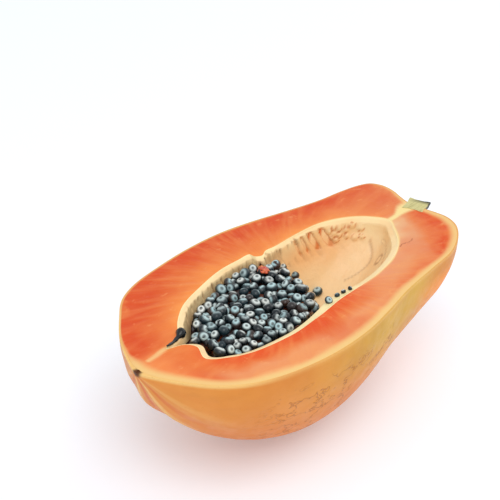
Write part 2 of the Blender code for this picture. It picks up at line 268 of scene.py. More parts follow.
@dataclass
class HollowForm:
    """The seed hollow: its rim on the cut face, the ledge inside it and the bowl."""

    centre: Span = (-2.0 * MM, -1.0 * MM)
    depth: float = 41.0 * MM
    fullness: float = 0.62
    ledge_far: float = 2.0 * MM
    ledge_near: float = 6.0 * MM
    ledge_drop: float = 1.6 * MM
    rim: Knots = (
        (81.7, -0.7), (76.5, 10.5), (68.0, 18.6), (54.0, 25.2), (38.0, 27.2),
        (19.0, 27.4), (11.5, 28.2), (6.6, 26.2), (3.2, 28.6), (3.0, 32.0),
        (-5.0, 32.6), (-19.0, 32.8), (-38.0, 29.2), (-55.8, 23.8), (-68.0, 15.8),
        (-78.0, 6.6), (-88.9, 3.0), (-80.4, -1.0), (-77.6, -6.5), (-82.0, -16.5),
        (-73.4, -24.6), (-62.0, -30.0), (-38.0, -34.2), (-16.4, -33.2), (2.0, -31.2),
        (31.0, -30.6), (53.6, -25.8), (66.0, -19.0), (76.5, -8.0),
    )
    angles: Array = field(init=False)
    reaches: Array = field(init=False)

    def __post_init__(self) -> None:
        """Turns the rim into a distance from the centre in each direction."""
        rim = smooth_through(self.rim, closed=True)
        self.angles, self.reaches = around_centre(rim, self.centre)

    def reach(self, angle: Array) -> Array:
        """Returns the rim's distance from the centre in these directions."""
        return np.interp(angle, self.angles, self.reaches, period=2.0 * math.pi)

    def ledge(self, angle: Array) -> Array:
        """Returns the width of the pale ledge, which is widest along the near side."""
        return self.ledge_far + (self.ledge_near - self.ledge_far) * (0.5 - 0.5 * np.sin(angle))

    def level(self, x: Array, y: Array, inset: float = 0.0) -> Array:
        """Finds the height of the wall over a place.

        Args:
            x: Distances along the fruit.
            y: Distances across it.
            inset: How far a smaller copy of the wall stands in from it.

        Returns:
            Heights from the cut plane, all of them below it or level with it.
        """
        dx = np.asarray(x) - self.centre[0]
        dy = np.asarray(y) - self.centre[1]
        angle = np.arctan2(dy, dx)
        out = np.hypot(dx, dy)
        reach = self.reach(angle) - inset
        ledge = self.ledge(angle)
        share = np.clip(out / (reach - ledge), 0.0, 1.0)
        bowl = (self.depth - self.ledge_drop - inset) * (1.0 - share ** 2) ** self.fullness
        slope = self.ledge_drop * np.clip((reach - out) / ledge, 0.0, 1.0)
        return -slope - bowl


def around_centre(curve: Array, centre: Span) -> tuple[Array, Array]:
    """Reads a closed curve as distances from a centre.

    Args:
        curve: Points of the curve.
        centre: The centre, inside the curve.

    Returns:
        The sorted directions and the distance in each.
    """
    from_centre = curve - np.array(centre)
    angles = np.arctan2(from_centre[:, 1], from_centre[:, 0])
    order = np.argsort(angles)
    return angles[order], np.hypot(from_centre[:, 0], from_centre[:, 1])[order]


def gap_to(points: Array, path: Knots) -> Array:
    """Returns how far each point lies from a path drawn on the cut plane, seen from above."""
    curve = smooth_through(path)[::3]
    return np.linalg.norm(points[:, None, :2] - curve[None, :, :], axis=2).min(axis=1)


@dataclass
class HeapForm:
    """The surface of the seed heap, before single seeds."""

    centre: Span = (-38.0 * MM, 0.0)
    level: float = -5.3 * MM
    swell: float = 0.9 * MM
    swell_length: float = 34.0 * MM
    crest: float = 3.5 * MM
    far_slant: float = 0.3
    near_curve: float = 0.028 / MM
    rounding: float = 4.0 * MM
    foot_slope: float = 2.2

    def top(self, x: Array, y: Array) -> Array:
        """Finds the height of the heap over a place.

        Args:
            x: Distances along the fruit.
            y: Distances across it.

        Returns:
            Heights from the cut plane, below it where negative.
        """
        bend = self.swell * np.sin(x / self.swell_length * math.pi)
        bend = bend * np.cos(y / self.swell_length * math.pi)
        crest = self.crest + np.where(y > 0.0, self.far_slant * y, -self.near_curve * y * y)
        over = np.maximum(x - crest, 0.0)
        return self.level + bend - self.foot_slope * over * np.minimum(1.0, over / self.rounding)


FRUIT = FruitForm()
HOLLOW = HollowForm()
HEAP = HeapForm()


class NodeGraph:
    """Short calls for making and joining the nodes of one material."""

    def __init__(self, name: str) -> None:
        """Starts a material with one Principled shader.

        Args:
            name: The material's name.
        """
        self.material = bpy.data.materials.new(name)
        self.material.use_nodes = True
        self.tree = self.material.node_tree
        self.shader = self.tree.nodes["Principled BSDF"]

    def node(self, kind: str, **values: object) -> Node:
        """Adds a node.

        Args:
            kind: The node's type name.
            values: Properties of the node, or inputs by name with spaces as underscores.

        Returns:
            The new node.
        """
        made = self.tree.nodes.new(kind)
        for name, value in values.items():
            if hasattr(made, name):
                setattr(made, name, value)
            else:
                made.inputs[name.replace("_", " ")].default_value = value
        return made

    def join(self, output: NodeSocket, target: NodeSocket) -> None:
        """Links an output to an input."""
        self.tree.links.new(output, target)

    def place(self) -> NodeSocket:
        """Returns the object's own coordinates."""
        return self.node("ShaderNodeTexCoord").outputs["Object"]

    def attribute(self, name: str) -> NodeSocket:
        """Returns a value stored on the mesh's points."""
        return self.node("ShaderNodeAttribute", attribute_name=name).outputs["Fac"]

    def stretched(self, scale: Triple, turn: float = 0.0) -> NodeSocket:
        """Turns and scales the object's coordinates.

        Args:
            scale: The scale on each axis.
            turn: The turn about Z, in radians.

        Returns:
            The new coordinates.
        """
        mapping = self.node("ShaderNodeMapping")
        mapping.inputs["Scale"].default_value = scale
        mapping.inputs["Rotation"].default_value = (0.0, 0.0, turn)
        self.join(self.place(), mapping.inputs["Vector"])
        return mapping.outputs["Vector"]

    def noise(self, scale: float, detail: float = 4.0, rough: float = 0.55,
              vector: NodeSocket | None = None) -> NodeSocket:
        """Adds a noise texture.

        Args:
            scale: Bumps for each metre.
            detail: Octaves of detail.
            rough: How strong the finer octaves are.
            vector: Coordinates to read, or the object's own.

        Returns:
            The noise value.
        """
        made = self.node("ShaderNodeTexNoise")
        made.inputs["Scale"].default_value = scale
        made.inputs["Detail"].default_value = detail
        made.inputs["Roughness"].default_value = rough
        self.join(vector or self.place(), made.inputs["Vector"])
        return made.outputs["Fac"]

    def cells(self, scale: float, feature: str = "F1",
              vector: NodeSocket | None = None) -> NodeSocket:
        """Adds a cell texture.

        Args:
            scale: Cells for each metre.
            feature: Which distance it gives.
            vector: Coordinates to read, or the object's own.

        Returns:
            The distance.
        """
        made = self.node("ShaderNodeTexVoronoi", feature=feature)
        made.inputs["Scale"].default_value = scale
        self.join(vector or self.place(), made.inputs["Vector"])
        return made.outputs["Distance"]

    def remap(self, value: NodeSocket, low: float, high: float,
              to_low: float = 0.0, to_high: float = 1.0) -> NodeSocket:
        """Maps a value smoothly from one range to another.

        Args:
            value: The value.
            low: Where the rise starts.
            high: Where it ends.
            to_low: The result at low.
            to_high: The result at high.

        Returns:
            The mapped value.
        """
        made = self.node("ShaderNodeMapRange", interpolation_type="SMOOTHSTEP")
        for name, number in zip(("From Min", "From Max", "To Min", "To Max"),
                                (low, high, to_low, to_high)):
            made.inputs[name].default_value = number
        self.join(value, made.inputs["Value"])
        return made.outputs["Result"]

    def math(self, operation: str, first: NodeSocket,
             second: NodeSocket | float) -> NodeSocket:
        """Joins two values by arithmetic.

        Args:
            operation: The operation's name.
            first: A value.
            second: A value or a plain number.

        Returns:
            The result.
        """
        made = self.node("ShaderNodeMath", operation=operation)
        self.join(first, made.inputs[0])
        if isinstance(second, (int, float)):
            made.inputs[1].default_value = second
        else:
            self.join(second, made.inputs[1])
        return made.outputs["Value"]

    def ramp(self, value: NodeSocket,
             stops: Stops) -> NodeSocket:
        """Turns a value into a colour.

        Args:
            value: The value, from 0 to 1.
            stops: Each stop's place and display colour.

        Returns:
            The colour.
        """
        made = self.node("ShaderNodeValToRGB")
        while len(made.color_ramp.elements) < len(stops):
            made.color_ramp.elements.new(0.5)
        for element, (place, colour) in zip(made.color_ramp.elements, stops):
            element.position = place
            element.color = srgb(*colour)
        self.join(value, made.inputs["Fac"])
        return made.outputs["Color"]

    def blend(self, share: NodeSocket, first: NodeSocket | tuple,
              second: NodeSocket | tuple, mode: str = "MIX") -> NodeSocket:
        """Blends two colours.

        Args:
            share: How much of the second shows.
            first: A colour socket, or a linear colour.
            second: A colour socket, or a linear colour.
            mode: The way they blend.

        Returns:
            The blended colour.
        """
        made = self.node("ShaderNodeMix", data_type="RGBA", blend_type=mode)
        self.join(share, made.inputs["Factor"])
        for socket, colour in ((made.inputs[6], first), (made.inputs[7], second)):
            if isinstance(colour, tuple):
                socket.default_value = colour
            else:
                self.join(colour, socket)
        return made.outputs[2]

    def tint(self, colour: NodeSocket, layers: Layers) -> NodeSocket:
        """Lays colours over the first one, each as strongly as its attribute says.

        Args:
            colour: The colour underneath.
            layers: Each attribute's name and its display colour, lowest first.

        Returns:
            The layered colour.
        """
        for name, shade in layers:
            colour = self.blend(self.attribute(name), colour, srgb(*shade))
        return colour

    def stain(self, colour: NodeSocket, mask: NodeSocket, strength: float,
              shade: Shade) -> NodeSocket:
        """Returns a colour with a display colour laid over it where a mask is high."""
        return self.blend(self.math("MULTIPLY", mask, strength), colour, srgb(*shade))

    def uneven(self, scale: float, low: float, high: float) -> NodeSocket:
        """Returns a roughness that soft noise moves between two values."""
        return self.remap(self.noise(scale), 0.3, 0.7, low, high)

    def bump(self, height: NodeSocket, strength: float, distance: float,
             normal: NodeSocket | None = None) -> NodeSocket:
        """Adds bumps to a surface.

        Args:
            height: The height of the bumps.
            strength: How strongly they show.
            distance: How high they are, in metres.
            normal: A normal that is bumped already.

        Returns:
            The new normal.
        """
        made = self.node("ShaderNodeBump")
        made.inputs["Strength"].default_value = strength
        made.inputs["Distance"].default_value = distance
        self.join(height, made.inputs["Height"])
        if normal is not None:
            self.join(normal, made.inputs["Normal"])
        return made.outputs["Normal"]

    def finish(self, colour: NodeSocket, roughness: NodeSocket,
               normal: NodeSocket, **plain: float) -> Material:
        """Joins the shader's main inputs.

        Args:
            colour: The base colour.
            roughness: The roughness.
            normal: The bumped normal.
            plain: Other inputs by name with spaces as underscores, set as plain numbers.

        Returns:
            The finished material.
        """
        self.join(colour, self.shader.inputs["Base Color"])
        self.join(roughness, self.shader.inputs["Roughness"])
        self.join(normal, self.shader.inputs["Normal"])
        for name, value in plain.items():
            self.shader.inputs[name.replace("_", " ")].default_value = value
        return self.material


@dataclass(frozen=True)
class FleshFinish:
    """Moist ripe flesh: its colour runs from the rim of the hollow out to the skin."""

    # The near and far ramps are partly the flesh's own colour and partly painted shade: deep
    # orange at the near rim, and toward the skin on the far side.
    near: Stops = (
        (0.0, (230, 84, 20)), (0.18, (228, 90, 28)), (0.38, (230, 118, 56)),
        (0.6, (234, 148, 94)), (0.8, (236, 148, 90)), (1.0, (242, 182, 116)),
    )
    far: Stops = (
        (0.0, (246, 148, 68)), (0.2, (237, 130, 58)), (0.45, (227, 106, 42)),
        (0.75, (218, 76, 18)), (0.95, (219, 78, 20)), (1.0, (226, 104, 42)),
    )
    stem: Stops = (
        (0.0, (236, 190, 140)), (0.4, (233, 168, 118)), (0.6, (230, 128, 68)),
        (0.8, (222, 80, 20)), (1.0, (232, 122, 52)),
    )
    blossom: Layers = (("blossom_side", (244, 142, 74)),)
    fibre_shade: Shade = (246, 164, 92)
    blotch_shade: Shade = (220, 72, 20)
    fleck_shade: Shade = (246, 176, 108)
    marks: Layers = (
        ("pale_edge", (240, 200, 128)), ("vein", (246, 220, 150)), ("crack", (150, 62, 24)),
    )
    wobble: float = 0.12

    def make(self) -> Material:
        """Builds the material.

        Returns:
            The finished material.
        """
        graph = NodeGraph("ripe_flesh")
        wobble = graph.remap(graph.noise(42.0, 3.0), 0.3, 0.7, -self.wobble, self.wobble)
        share = graph.math("ADD", graph.attribute("flesh_share"), wobble)
        near, far, stem = (graph.ramp(share, stops) for stops in (self.near, self.far, self.stem))
        # The far side's colour is partly its own and partly painted shade.
        colour = graph.blend(graph.attribute("far_side"), near, far)
        colour = graph.blend(graph.attribute("stem_side"), colour, stem)
        colour = graph.tint(colour, self.blossom)
        fibres = graph.remap(graph.attribute("fibre"), 0.35, 0.9)
        colour = graph.stain(colour, fibres, 0.22, self.fibre_shade)
        blotch = graph.remap(graph.noise(24.0, 2.0), 0.50, 0.72)
        colour = graph.stain(colour, blotch, 0.40, self.blotch_shade)
        drawn_out = graph.stretched((1.0, 1.6, 1.0), 0.3)
        flecks = graph.remap(graph.noise(150.0, 3.0, 0.6, drawn_out), 0.60, 0.75)
        colour = graph.stain(colour, flecks, 0.30, self.fleck_shade)
        colour = graph.tint(colour, self.marks)
        grain = graph.bump(graph.noise(900.0, 3.0), 0.25, 0.0004)
        normal = graph.bump(graph.attribute("fibre"), 0.35, 0.0006, grain)
        rough = graph.uneven(260.0, 0.30, 0.48)
        return graph.finish(colour, rough, normal, Specular_IOR_Level=0.22)


@dataclass(frozen=True)
class LiningFinish:
    """The moist cream lining of the hollow, with painted shade in its grooves and creases."""

    cream: Stops = ((0.25, (254, 228, 174)), (0.5, (251, 216, 160)), (0.75, (248, 200, 140)))
    # The crease layer is painted shade: dark brown laid into the grooves, creases and nodule
    # feet.
    marks: Layers = (
        ("blush", (250, 208, 156)), ("warm", (250, 172, 98)), ("border", (255, 236, 176)),
        ("orange", (230, 112, 30)), ("crease", (140, 74, 30)),
    )
    thread_shade: Shade = (238, 176, 112)

    def make(self) -> Material:
        """Builds the material.

        Returns:
            The finished material.
        """
        graph = NodeGraph("cream_lining")
        colour = graph.tint(graph.ramp(graph.noise(34.0, 3.0), self.cream), self.marks)
        drawn_out = graph.stretched((1.0, 3.4, 1.6))
        threads = graph.remap(graph.noise(90.0, 5.0, 0.7, drawn_out), 0.55, 0.75)
        colour = graph.stain(colour, threads, 0.30, self.thread_shade)
        fine = graph.bump(graph.noise(650.0, 4.0), 0.25, 0.0005)
        folds = graph.noise(120.0, 4.0, 0.6, graph.stretched((0.6, 2.0, 1.4)))
        normal = graph.bump(folds, 0.5, 0.0010, fine)
        rough = graph.uneven(220.0, 0.28, 0.50)
        return graph.finish(colour, rough, normal, Specular_IOR_Level=0.4)


@dataclass(frozen=True)
class SkinFinish:
    """Waxy skin: orange below, yellow to olive under the cut, with scars and creases."""

    orange: Stops = ((0.3, (216, 122, 48)), (0.5, (223, 134, 60)), (0.7, (230, 146, 74)))
    yellow: Stops = ((0.3, (200, 150, 50)), (0.5, (216, 166, 62)), (0.7, (226, 162, 62)))
    marks: Layers = (
        ("ripe_end", (252, 146, 28)), ("groove", (214, 96, 30)), ("pale_rib", (240, 194, 118)),
    )
    speckle_shade: Shade = (196, 128, 54)
    streak_shade: Shade = (204, 126, 58)
    crack_shade: Shade = (166, 88, 24)
    scar: Layers = (("scar", (92, 52, 22)),)

    def make(self) -> Material:
        """Builds the material.

        Returns:
            The finished material.
        """
        graph = NodeGraph("waxy_skin")
        patches = graph.noise(16.0, 4.0, 0.6)
        orange, yellow = (graph.ramp(patches, stops) for stops in (self.orange, self.yellow))
        colour = graph.blend(graph.attribute("yellowing"), orange, yellow)
        colour = graph.tint(colour, self.marks)
        speckle = graph.remap(graph.cells(330.0), 0.05, 0.22, 1.0, 0.0)
        colour = graph.stain(colour, speckle, 0.22, self.speckle_shade)
        drawn_out = graph.stretched((0.5, 1.0, 2.6), 0.25)
        streaks = graph.remap(graph.noise(46.0, 5.0, 0.65, drawn_out), 0.5, 0.72)
        colour = graph.stain(colour, streaks, 0.30, self.streak_shade)
        wander = graph.noise(62.0, 3.0, 0.7, graph.stretched((0.8, 0.8, 1.3), 0.4))
        ridge = graph.math("ABSOLUTE", graph.math("SUBTRACT", wander, 0.5), 0.0)
        here = graph.remap(graph.noise(26.0, 2.0), 0.44, 0.54)
        here = graph.math("MULTIPLY", here, graph.attribute("weathered"))
        cracks = graph.math("MULTIPLY", graph.remap(ridge, 0.0, 0.022, 1.0, 0.0), here)
        colour = graph.tint(graph.stain(colour, cracks, 0.65, self.crack_shade), self.scar)
        fine = graph.bump(graph.noise(520.0, 3.0), 0.18, 0.0004)
        dents = graph.bump(graph.noise(70.0, 4.0), 0.35, 0.0012, fine)
        normal = graph.bump(cracks, 0.5, 0.0008, dents)
        return graph.finish(colour, graph.uneven(180.0, 0.36, 0.52), normal, Coat_Weight=0.08,
                            Coat_Roughness=0.35, Specular_IOR_Level=0.15)


@dataclass(frozen=True)
class SeedFinish:
    """Wet near-black seeds, each with a pale ring near its top that is a painted highlight."""

    tones: Stops = (
        (0.0, (6, 14, 18)), (0.55, (14, 26, 32)), (0.8, (30, 48, 54)), (1.0, (58, 34, 22)),
    )
    # Colours of the painted highlight ring: white for some seeds, blue-white for others, by tone.
    white_glint: Shade = (252, 254, 246)
    blue_glint: Shade = (184, 222, 226)

    def make(self) -> Material:
        """Builds the material.

        Returns:
            The finished material.
        """
        graph = NodeGraph("wet_seed")
        tone = graph.ramp(graph.attribute("tone"), self.tones)
        # The ring is a painted highlight, broken up by noise and as strong as each seed's clear
        # value.
        glint_breakup = graph.remap(graph.noise(260.0, 2.0), 0.28, 0.38)
        ring = graph.math("MULTIPLY", graph.attribute("ring"), glint_breakup)
        ring = graph.math("MULTIPLY", ring, graph.attribute("clear"))
        white, blue = srgb(*self.white_glint), srgb(*self.blue_glint)
        glint_colour = graph.blend(graph.attribute("tone"), white, blue)
        colour = graph.blend(ring, tone, glint_colour)
        normal = graph.bump(graph.noise(900.0, 2.0), 0.35, 0.0006)
        return graph.finish(colour, graph.uneven(500.0, 0.14, 0.32), normal, Coat_Weight=0.35,
                            Coat_Roughness=0.06, Specular_IOR_Level=0.3)


@dataclass(frozen=True)
class PulpFinish:
    """Red-brown wet pulp between the seeds."""

    tones: Stops = (
        (0.3, (20, 12, 14)), (0.48, (54, 24, 16)), (0.6, (112, 50, 24)), (0.74, (206, 136, 76)),
    )

    def make(self) -> Material:
        """Builds the material.

        Returns:
            The finished material.
        """
        graph = NodeGraph("red_pulp")
        colour = graph.ramp(graph.noise(95.0, 4.0), self.tones)
        normal = graph.bump(graph.noise(420.0, 4.0), 0.6, 0.0012)
        return graph.finish(colour, graph.uneven(300.0, 0.15, 0.4), normal,
                            Coat_Weight=0.5, Coat_Roughness=0.1)


@dataclass(frozen=True)
class FlakeFinish:
    """A torn scrap of red flesh caught in the heap."""

    tones: Stops = ((0.35, (196, 60, 28)), (0.55, (226, 96, 44)), (0.7, (242, 150, 84)))

    def make(self) -> Material:
        """Builds the material.

        Returns:
            The finished material.
        """
        graph = NodeGraph("red_scrap")
        colour = graph.ramp(graph.noise(240.0), self.tones)
        normal = graph.bump(graph.noise(500.0), 0.5, 0.0008)
        return graph.finish(colour, graph.uneven(300.0, 0.2, 0.4), normal,
                            Coat_Weight=0.4, Coat_Roughness=0.15)


@dataclass(frozen=True)
class StemFinish:
    """The halved stem: pale green cut face, grey-green bark and a dark patch at the near side of
    its end.
    """

    cut: Stops = ((0.3, (196, 186, 118)), (0.5, (212, 202, 140)), (0.7, (176, 166, 104)))
    bark: Stops = ((0.3, (112, 112, 66)), (0.55, (150, 150, 96)), (0.75, (84, 84, 52)))
    end: Layers = (("dark_end", (62, 60, 42)),)

    def make(self) -> Material:
        """Builds the material.

        Returns:
            The finished material.
        """
        graph = NodeGraph("stem_stub")
        fibres = graph.noise(300.0, 4.0, 0.6, graph.stretched((0.25, 2.0, 2.0), -0.25))
        cut, bark = (graph.ramp(fibres, stops) for stops in (self.cut, self.bark))
        colour = graph.tint(graph.blend(graph.attribute("bark"), cut, bark), self.end)
        rough = graph.remap(fibres, 0.3, 0.7, 0.5, 0.75)
        return graph.finish(colour, rough, graph.bump(fibres, 0.5, 0.0008))


@dataclass(frozen=True)
class FloorFinish:
    """A plain pale floor."""

    shade: Shade = (233, 237, 243)
    glow_shade: Shade = (250, 252, 255)
    glow: float = 0.20
    roughness: float = 0.9
    gloss: float = 0.1

    def make(self) -> Material:
        """Builds the material.

        Returns:
            The finished material.
        """
        graph = NodeGraph("pale_floor")
        for name, value in (
            ("Base Color", srgb(*self.shade)), ("Emission Color", srgb(*self.glow_shade)),
            ("Emission Strength", self.glow), ("Roughness", self.roughness),
            ("Specular IOR Level", self.gloss),
        ):
            graph.shader.inputs[name].default_value = value
        return graph.material


def sphere_mesh(name: str, around: int, rings: int) -> tuple[Mesh, Array]:
    """Makes a unit ball as a mesh to be shaped.

    Args:
        name: The mesh's name.
        around: Points around each ring.
        rings: Rings from pole to pole.

    Returns:
        The mesh, and its points one a row.
    """
    ball = bmesh.new()
    bmesh.ops.create_grid(ball, x_segments=around, y_segments=rings, size=1.0)
    seam = [vert for vert in ball.verts if vert.is_boundary]
    for vert in ball.verts:
        turn, dip = math.pi * vert.co.x, math.pi / 2.0 * (1.0 - vert.co.y)
        level = math.sin(dip)
        vert.co = (level * math.cos(turn), level * math.sin(turn), math.cos(dip))
    bmesh.ops.remove_doubles(ball, verts=seam, dist=1e-6)
    bmesh.ops.recalc_face_normals(ball, faces=ball.faces)
    mesh = as_mesh(ball, name)
    return mesh, points_of(mesh)


def as_mesh(body: bmesh.types.BMesh, name: str) -> Mesh:
    """Turns a finished bmesh into a smooth-shaded mesh.

    Args:
        body: The bmesh, which is freed.
        name: The mesh's name.

    Returns:
        The new mesh.
    """
    mesh = bpy.data.meshes.new(name)
    body.to_mesh(mesh)
    body.free()
    mesh.shade_smooth()
    return mesh


def points_of(mesh: Mesh) -> Array:
    """Reads the points of a mesh.

    Args:
        mesh: The mesh.

    Returns:
        The points, one a row.
    """
    flat = np.empty(len(mesh.vertices) * 3)
    mesh.vertices.foreach_get("co", flat)
    return flat.reshape(-1, 3)


def normals_of(mesh: Mesh) -> Array:
    """Reads the normals at the points of a mesh.

    Args:
        mesh: The mesh.

    Returns:
        The normals, one a row.
    """
    flat = np.empty(len(mesh.vertices) * 3, np.float32)
    mesh.vertex_normals.foreach_get("vector", flat)
    return flat.reshape(-1, 3).astype(float)


def set_points(mesh: Mesh, points: Array) -> None:
    """Moves a mesh's points."""
    mesh.vertices.foreach_set("co", points.astype(np.float32).ravel())
    mesh.update()


def store(mesh: Mesh, **layers: Array) -> None:
    """Stores values at the points of a mesh, held between 0 and 1.

    Args:
        mesh: The mesh.
        layers: For each attribute's name, one value a point.
    """
    for name, values in layers.items():
        layer = mesh.attributes.new(name, "FLOAT", "POINT")
        layer.data.foreach_set("value", np.clip(values, 0.0, 1.0).astype(np.float32))


def face_outwards(mesh: Mesh) -> None:
    """Makes every face of a closed mesh point out, and shades it smooth.

    Args:
        mesh: The mesh.
    """
    body = bmesh.new()
    body.from_mesh(mesh)
    bmesh.ops.recalc_face_normals(body, faces=body.faces)
    if body.calc_volume(signed=True) < 0.0:
        bmesh.ops.reverse_faces(body, faces=body.faces)
    body.to_mesh(mesh)
    body.free()
    mesh.shade_smooth()


def add_piece(mesh: Mesh, finish: Material, node: str) -> Object:
    """Puts a finished mesh in the scene.

    Args:
        mesh: The mesh, already in place.
        finish: Its material.
        node: The CAD node that it stands for.

    Returns:
        The new object.
    """
    mesh.materials.append(finish)
    piece = put_in_scene(mesh.name, mesh)
    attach(piece, "root")
    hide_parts(node)
    LOG.info("%s: %d faces", piece.name, len(mesh.polygons))
    return piece


def put_in_scene(name: str, data: bpy.types.ID) -> Object:
    """Makes an object of a mesh, light or camera and links it to the scene.

    Args:
        name: The object's name.
        data: What it shows.

    Returns:
        The new object.
    """
    item = bpy.data.objects.new(name, data)
    bpy.context.scene.collection.objects.link(item)
    return item


def clear_above(body: bmesh.types.BMesh, height: float) -> None:
    """Cuts away everything above a level plane.

    Args:
        body: The closed or open body.
        height: The plane's height.
    """
    bmesh.ops.bisect_plane(
        body, geom=body.verts[:] + body.edges[:] + body.faces[:], dist=1e-7,
        plane_co=(0.0, 0.0, height), plane_no=(0.0, 0.0, 1.0), clear_outer=True,
    )


def divide_sides(body: bmesh.types.BMesh, cuts: int) -> None:
    """Cuts the side edges of an upright cone into equal lengths.

    Args:
        body: The cone.
        cuts: New points on each edge.
    """
    sides = [edge for edge in body.edges
             if abs(edge.verts[0].co.z - edge.verts[1].co.z) > MM]
    bmesh.ops.subdivide_edges(body, edges=sides, cuts=cuts)


def direction(unit: Array) -> Array:
    """Returns each point's turn about the upright axis of a unit ball."""
    return np.arctan2(unit[:, 1], unit[:, 0])


def out_from(centre: Span, out: Array, angle: Array | float) -> tuple[Array, Array]:
    """Returns the places at these distances and directions from a centre."""
    return centre[0] + out * np.cos(angle), centre[1] + out * np.sin(angle)


def ring_number(unit: Array, rings: int) -> Array:
    """Returns each point's ring on a unit ball, from 0 at the top to rings at the bottom."""
    return np.arccos(np.clip(unit[:, 2], -1.0, 1.0)) / math.pi * rings


@dataclass
class Skin:
    """The thin outer skin, an open bowl of its own thickness."""

    around: int = 280
    rings: int = 250
    thickness: float = 2.4 * MM
    end_crowding: float = 0.4
    scar_reach: float = 0.013
    dent_depth: Span = (2.0, 12.0)
    yellow_depth: Span = (48.0, 8.0)
    yellow_along: Span = (-70.0, 10.0)
    ripe_along: Span = (44.0, 74.0)
    ripe_depth: Span = (3.0, 18.0)
    ribbed_zone: Span = (0.24, 0.05)
    button_zone: Span = (0.0, 0.02)
    groove_rise: Span = (0.35, 1.0)
    pale_rise: Span = (0.55, 1.0)
    rim_depth: Span = (2.2, 0.3)
    rim_along: Span = (-60.0, -95.0)
    worn_start: Span = (-84.0, -52.0)
    worn_end: Span = (74.0, 40.0)
    worn_depth: Span = (8.0, 18.0)
    sharp_angle: float = 50.0
    core_height: float = 70.0 * MM

    def build(self) -> Object:
        """Builds and dresses the skin.

        Returns:
            The piece.
        """
        mesh, unit = sphere_mesh("skin", self.around, self.rings)
        even = 1.0 - ring_number(unit, 1)
        fraction = even - self.end_crowding * np.sin(2.0 * math.pi * even) / (2.0 * math.pi)
        turn = direction(unit)
        points = FRUIT.skin(fraction, turn)
        under = FRUIT.cut_height - points[:, 2]
        inward = fade(under, *self.dent_depth)
        dents = 0.35 * MM * noise_at(points, 45.0) + 0.12 * MM * noise_at(points, 160.0, 5.0)
        set_points(mesh, points)
        face_outwards(mesh)
        points = points + normals_of(mesh) * (dents * inward)[:, None]
        points[:, 2] = np.maximum(points[:, 2], 0.0)
        set_points(mesh, points)
        self._mark(mesh, points, fraction, turn)
        self._hollow_out(mesh)
        return add_piece(mesh, SkinFinish().make(), "fruit")

    def _mark(self, mesh: Mesh, points: Array, fraction: Array, turn: Array) -> None:
        """Stores where the skin is yellow, grooved or pale.

        Args:
            mesh: The skin's mesh.
            points: Its points.
            fraction: Their fractions of length.
            turn: Their turns about the long axis.
        """
        under = FRUIT.cut_height - points[:, 2]
        x = points[:, 0]
        wave = noise_at(points, 22.0, 2.0)
        high = fade(under + 12.0 * MM * wave, *self.yellow_depth)
        ripe = fade(x + 10.0 * MM * wave, *self.ripe_along)
        yellow = high * (0.2 + 0.8 * fade(x, *self.yellow_along)) * (1.0 - 0.7 * ripe)
        ribbed = smooth_step(fraction, *self.ribbed_zone)
        ribbed = ribbed * smooth_step(fraction, *self.button_zone) * np.sin(turn) ** 2
        ribs = np.cos(FRUIT.rib_count * turn)
        pale_ribs = ribbed * smooth_step(ribs, *self.pale_rise) * 0.8
        rim_glow = fade(under, *self.rim_depth) * (0.45 + 0.55 * fade(x, *self.rim_along))
        worn = fade(x, *self.worn_start) * fade(x, *self.worn_end)
        store(
            mesh,
            yellowing=yellow,
            ripe_end=0.9 * ripe * fade(under, *self.ripe_depth),
            groove=ribbed * smooth_step(-ribs, *self.groove_rise) * 0.9,
            scar=smooth_step(fraction, self.scar_reach, 0.4 * self.scar_reach),
            pale_rib=np.maximum(pale_ribs, rim_glow),
            weathered=worn * fade(under, *self.worn_depth),
        )

    def _hollow_out(self, mesh: Mesh) -> None:
        """Cuts the upper half away and gives the skin its thickness.

        Args:
            mesh: The whole skin.
        """
        body = bmesh.new()
        body.from_mesh(mesh)
        clear_above(body, FRUIT.cut_height)
        bmesh.ops.remove_doubles(body, verts=body.verts, dist=1e-6)
        bmesh.ops.recalc_face_normals(body, faces=body.faces)
        core = Vector((0.0, 0.0, self.core_height))
        if sum(face.normal.dot(face.calc_center_median() - core) for face in body.faces) < 0.0:
            bmesh.ops.reverse_faces(body, faces=body.faces)
        bmesh.ops.solidify(body, geom=body.faces[:], thickness=self.thickness)
        body.to_mesh(mesh)
        body.free()
        mesh.shade_smooth()
        mesh.set_sharp_from_angle(angle=math.radians(self.sharp_angle))


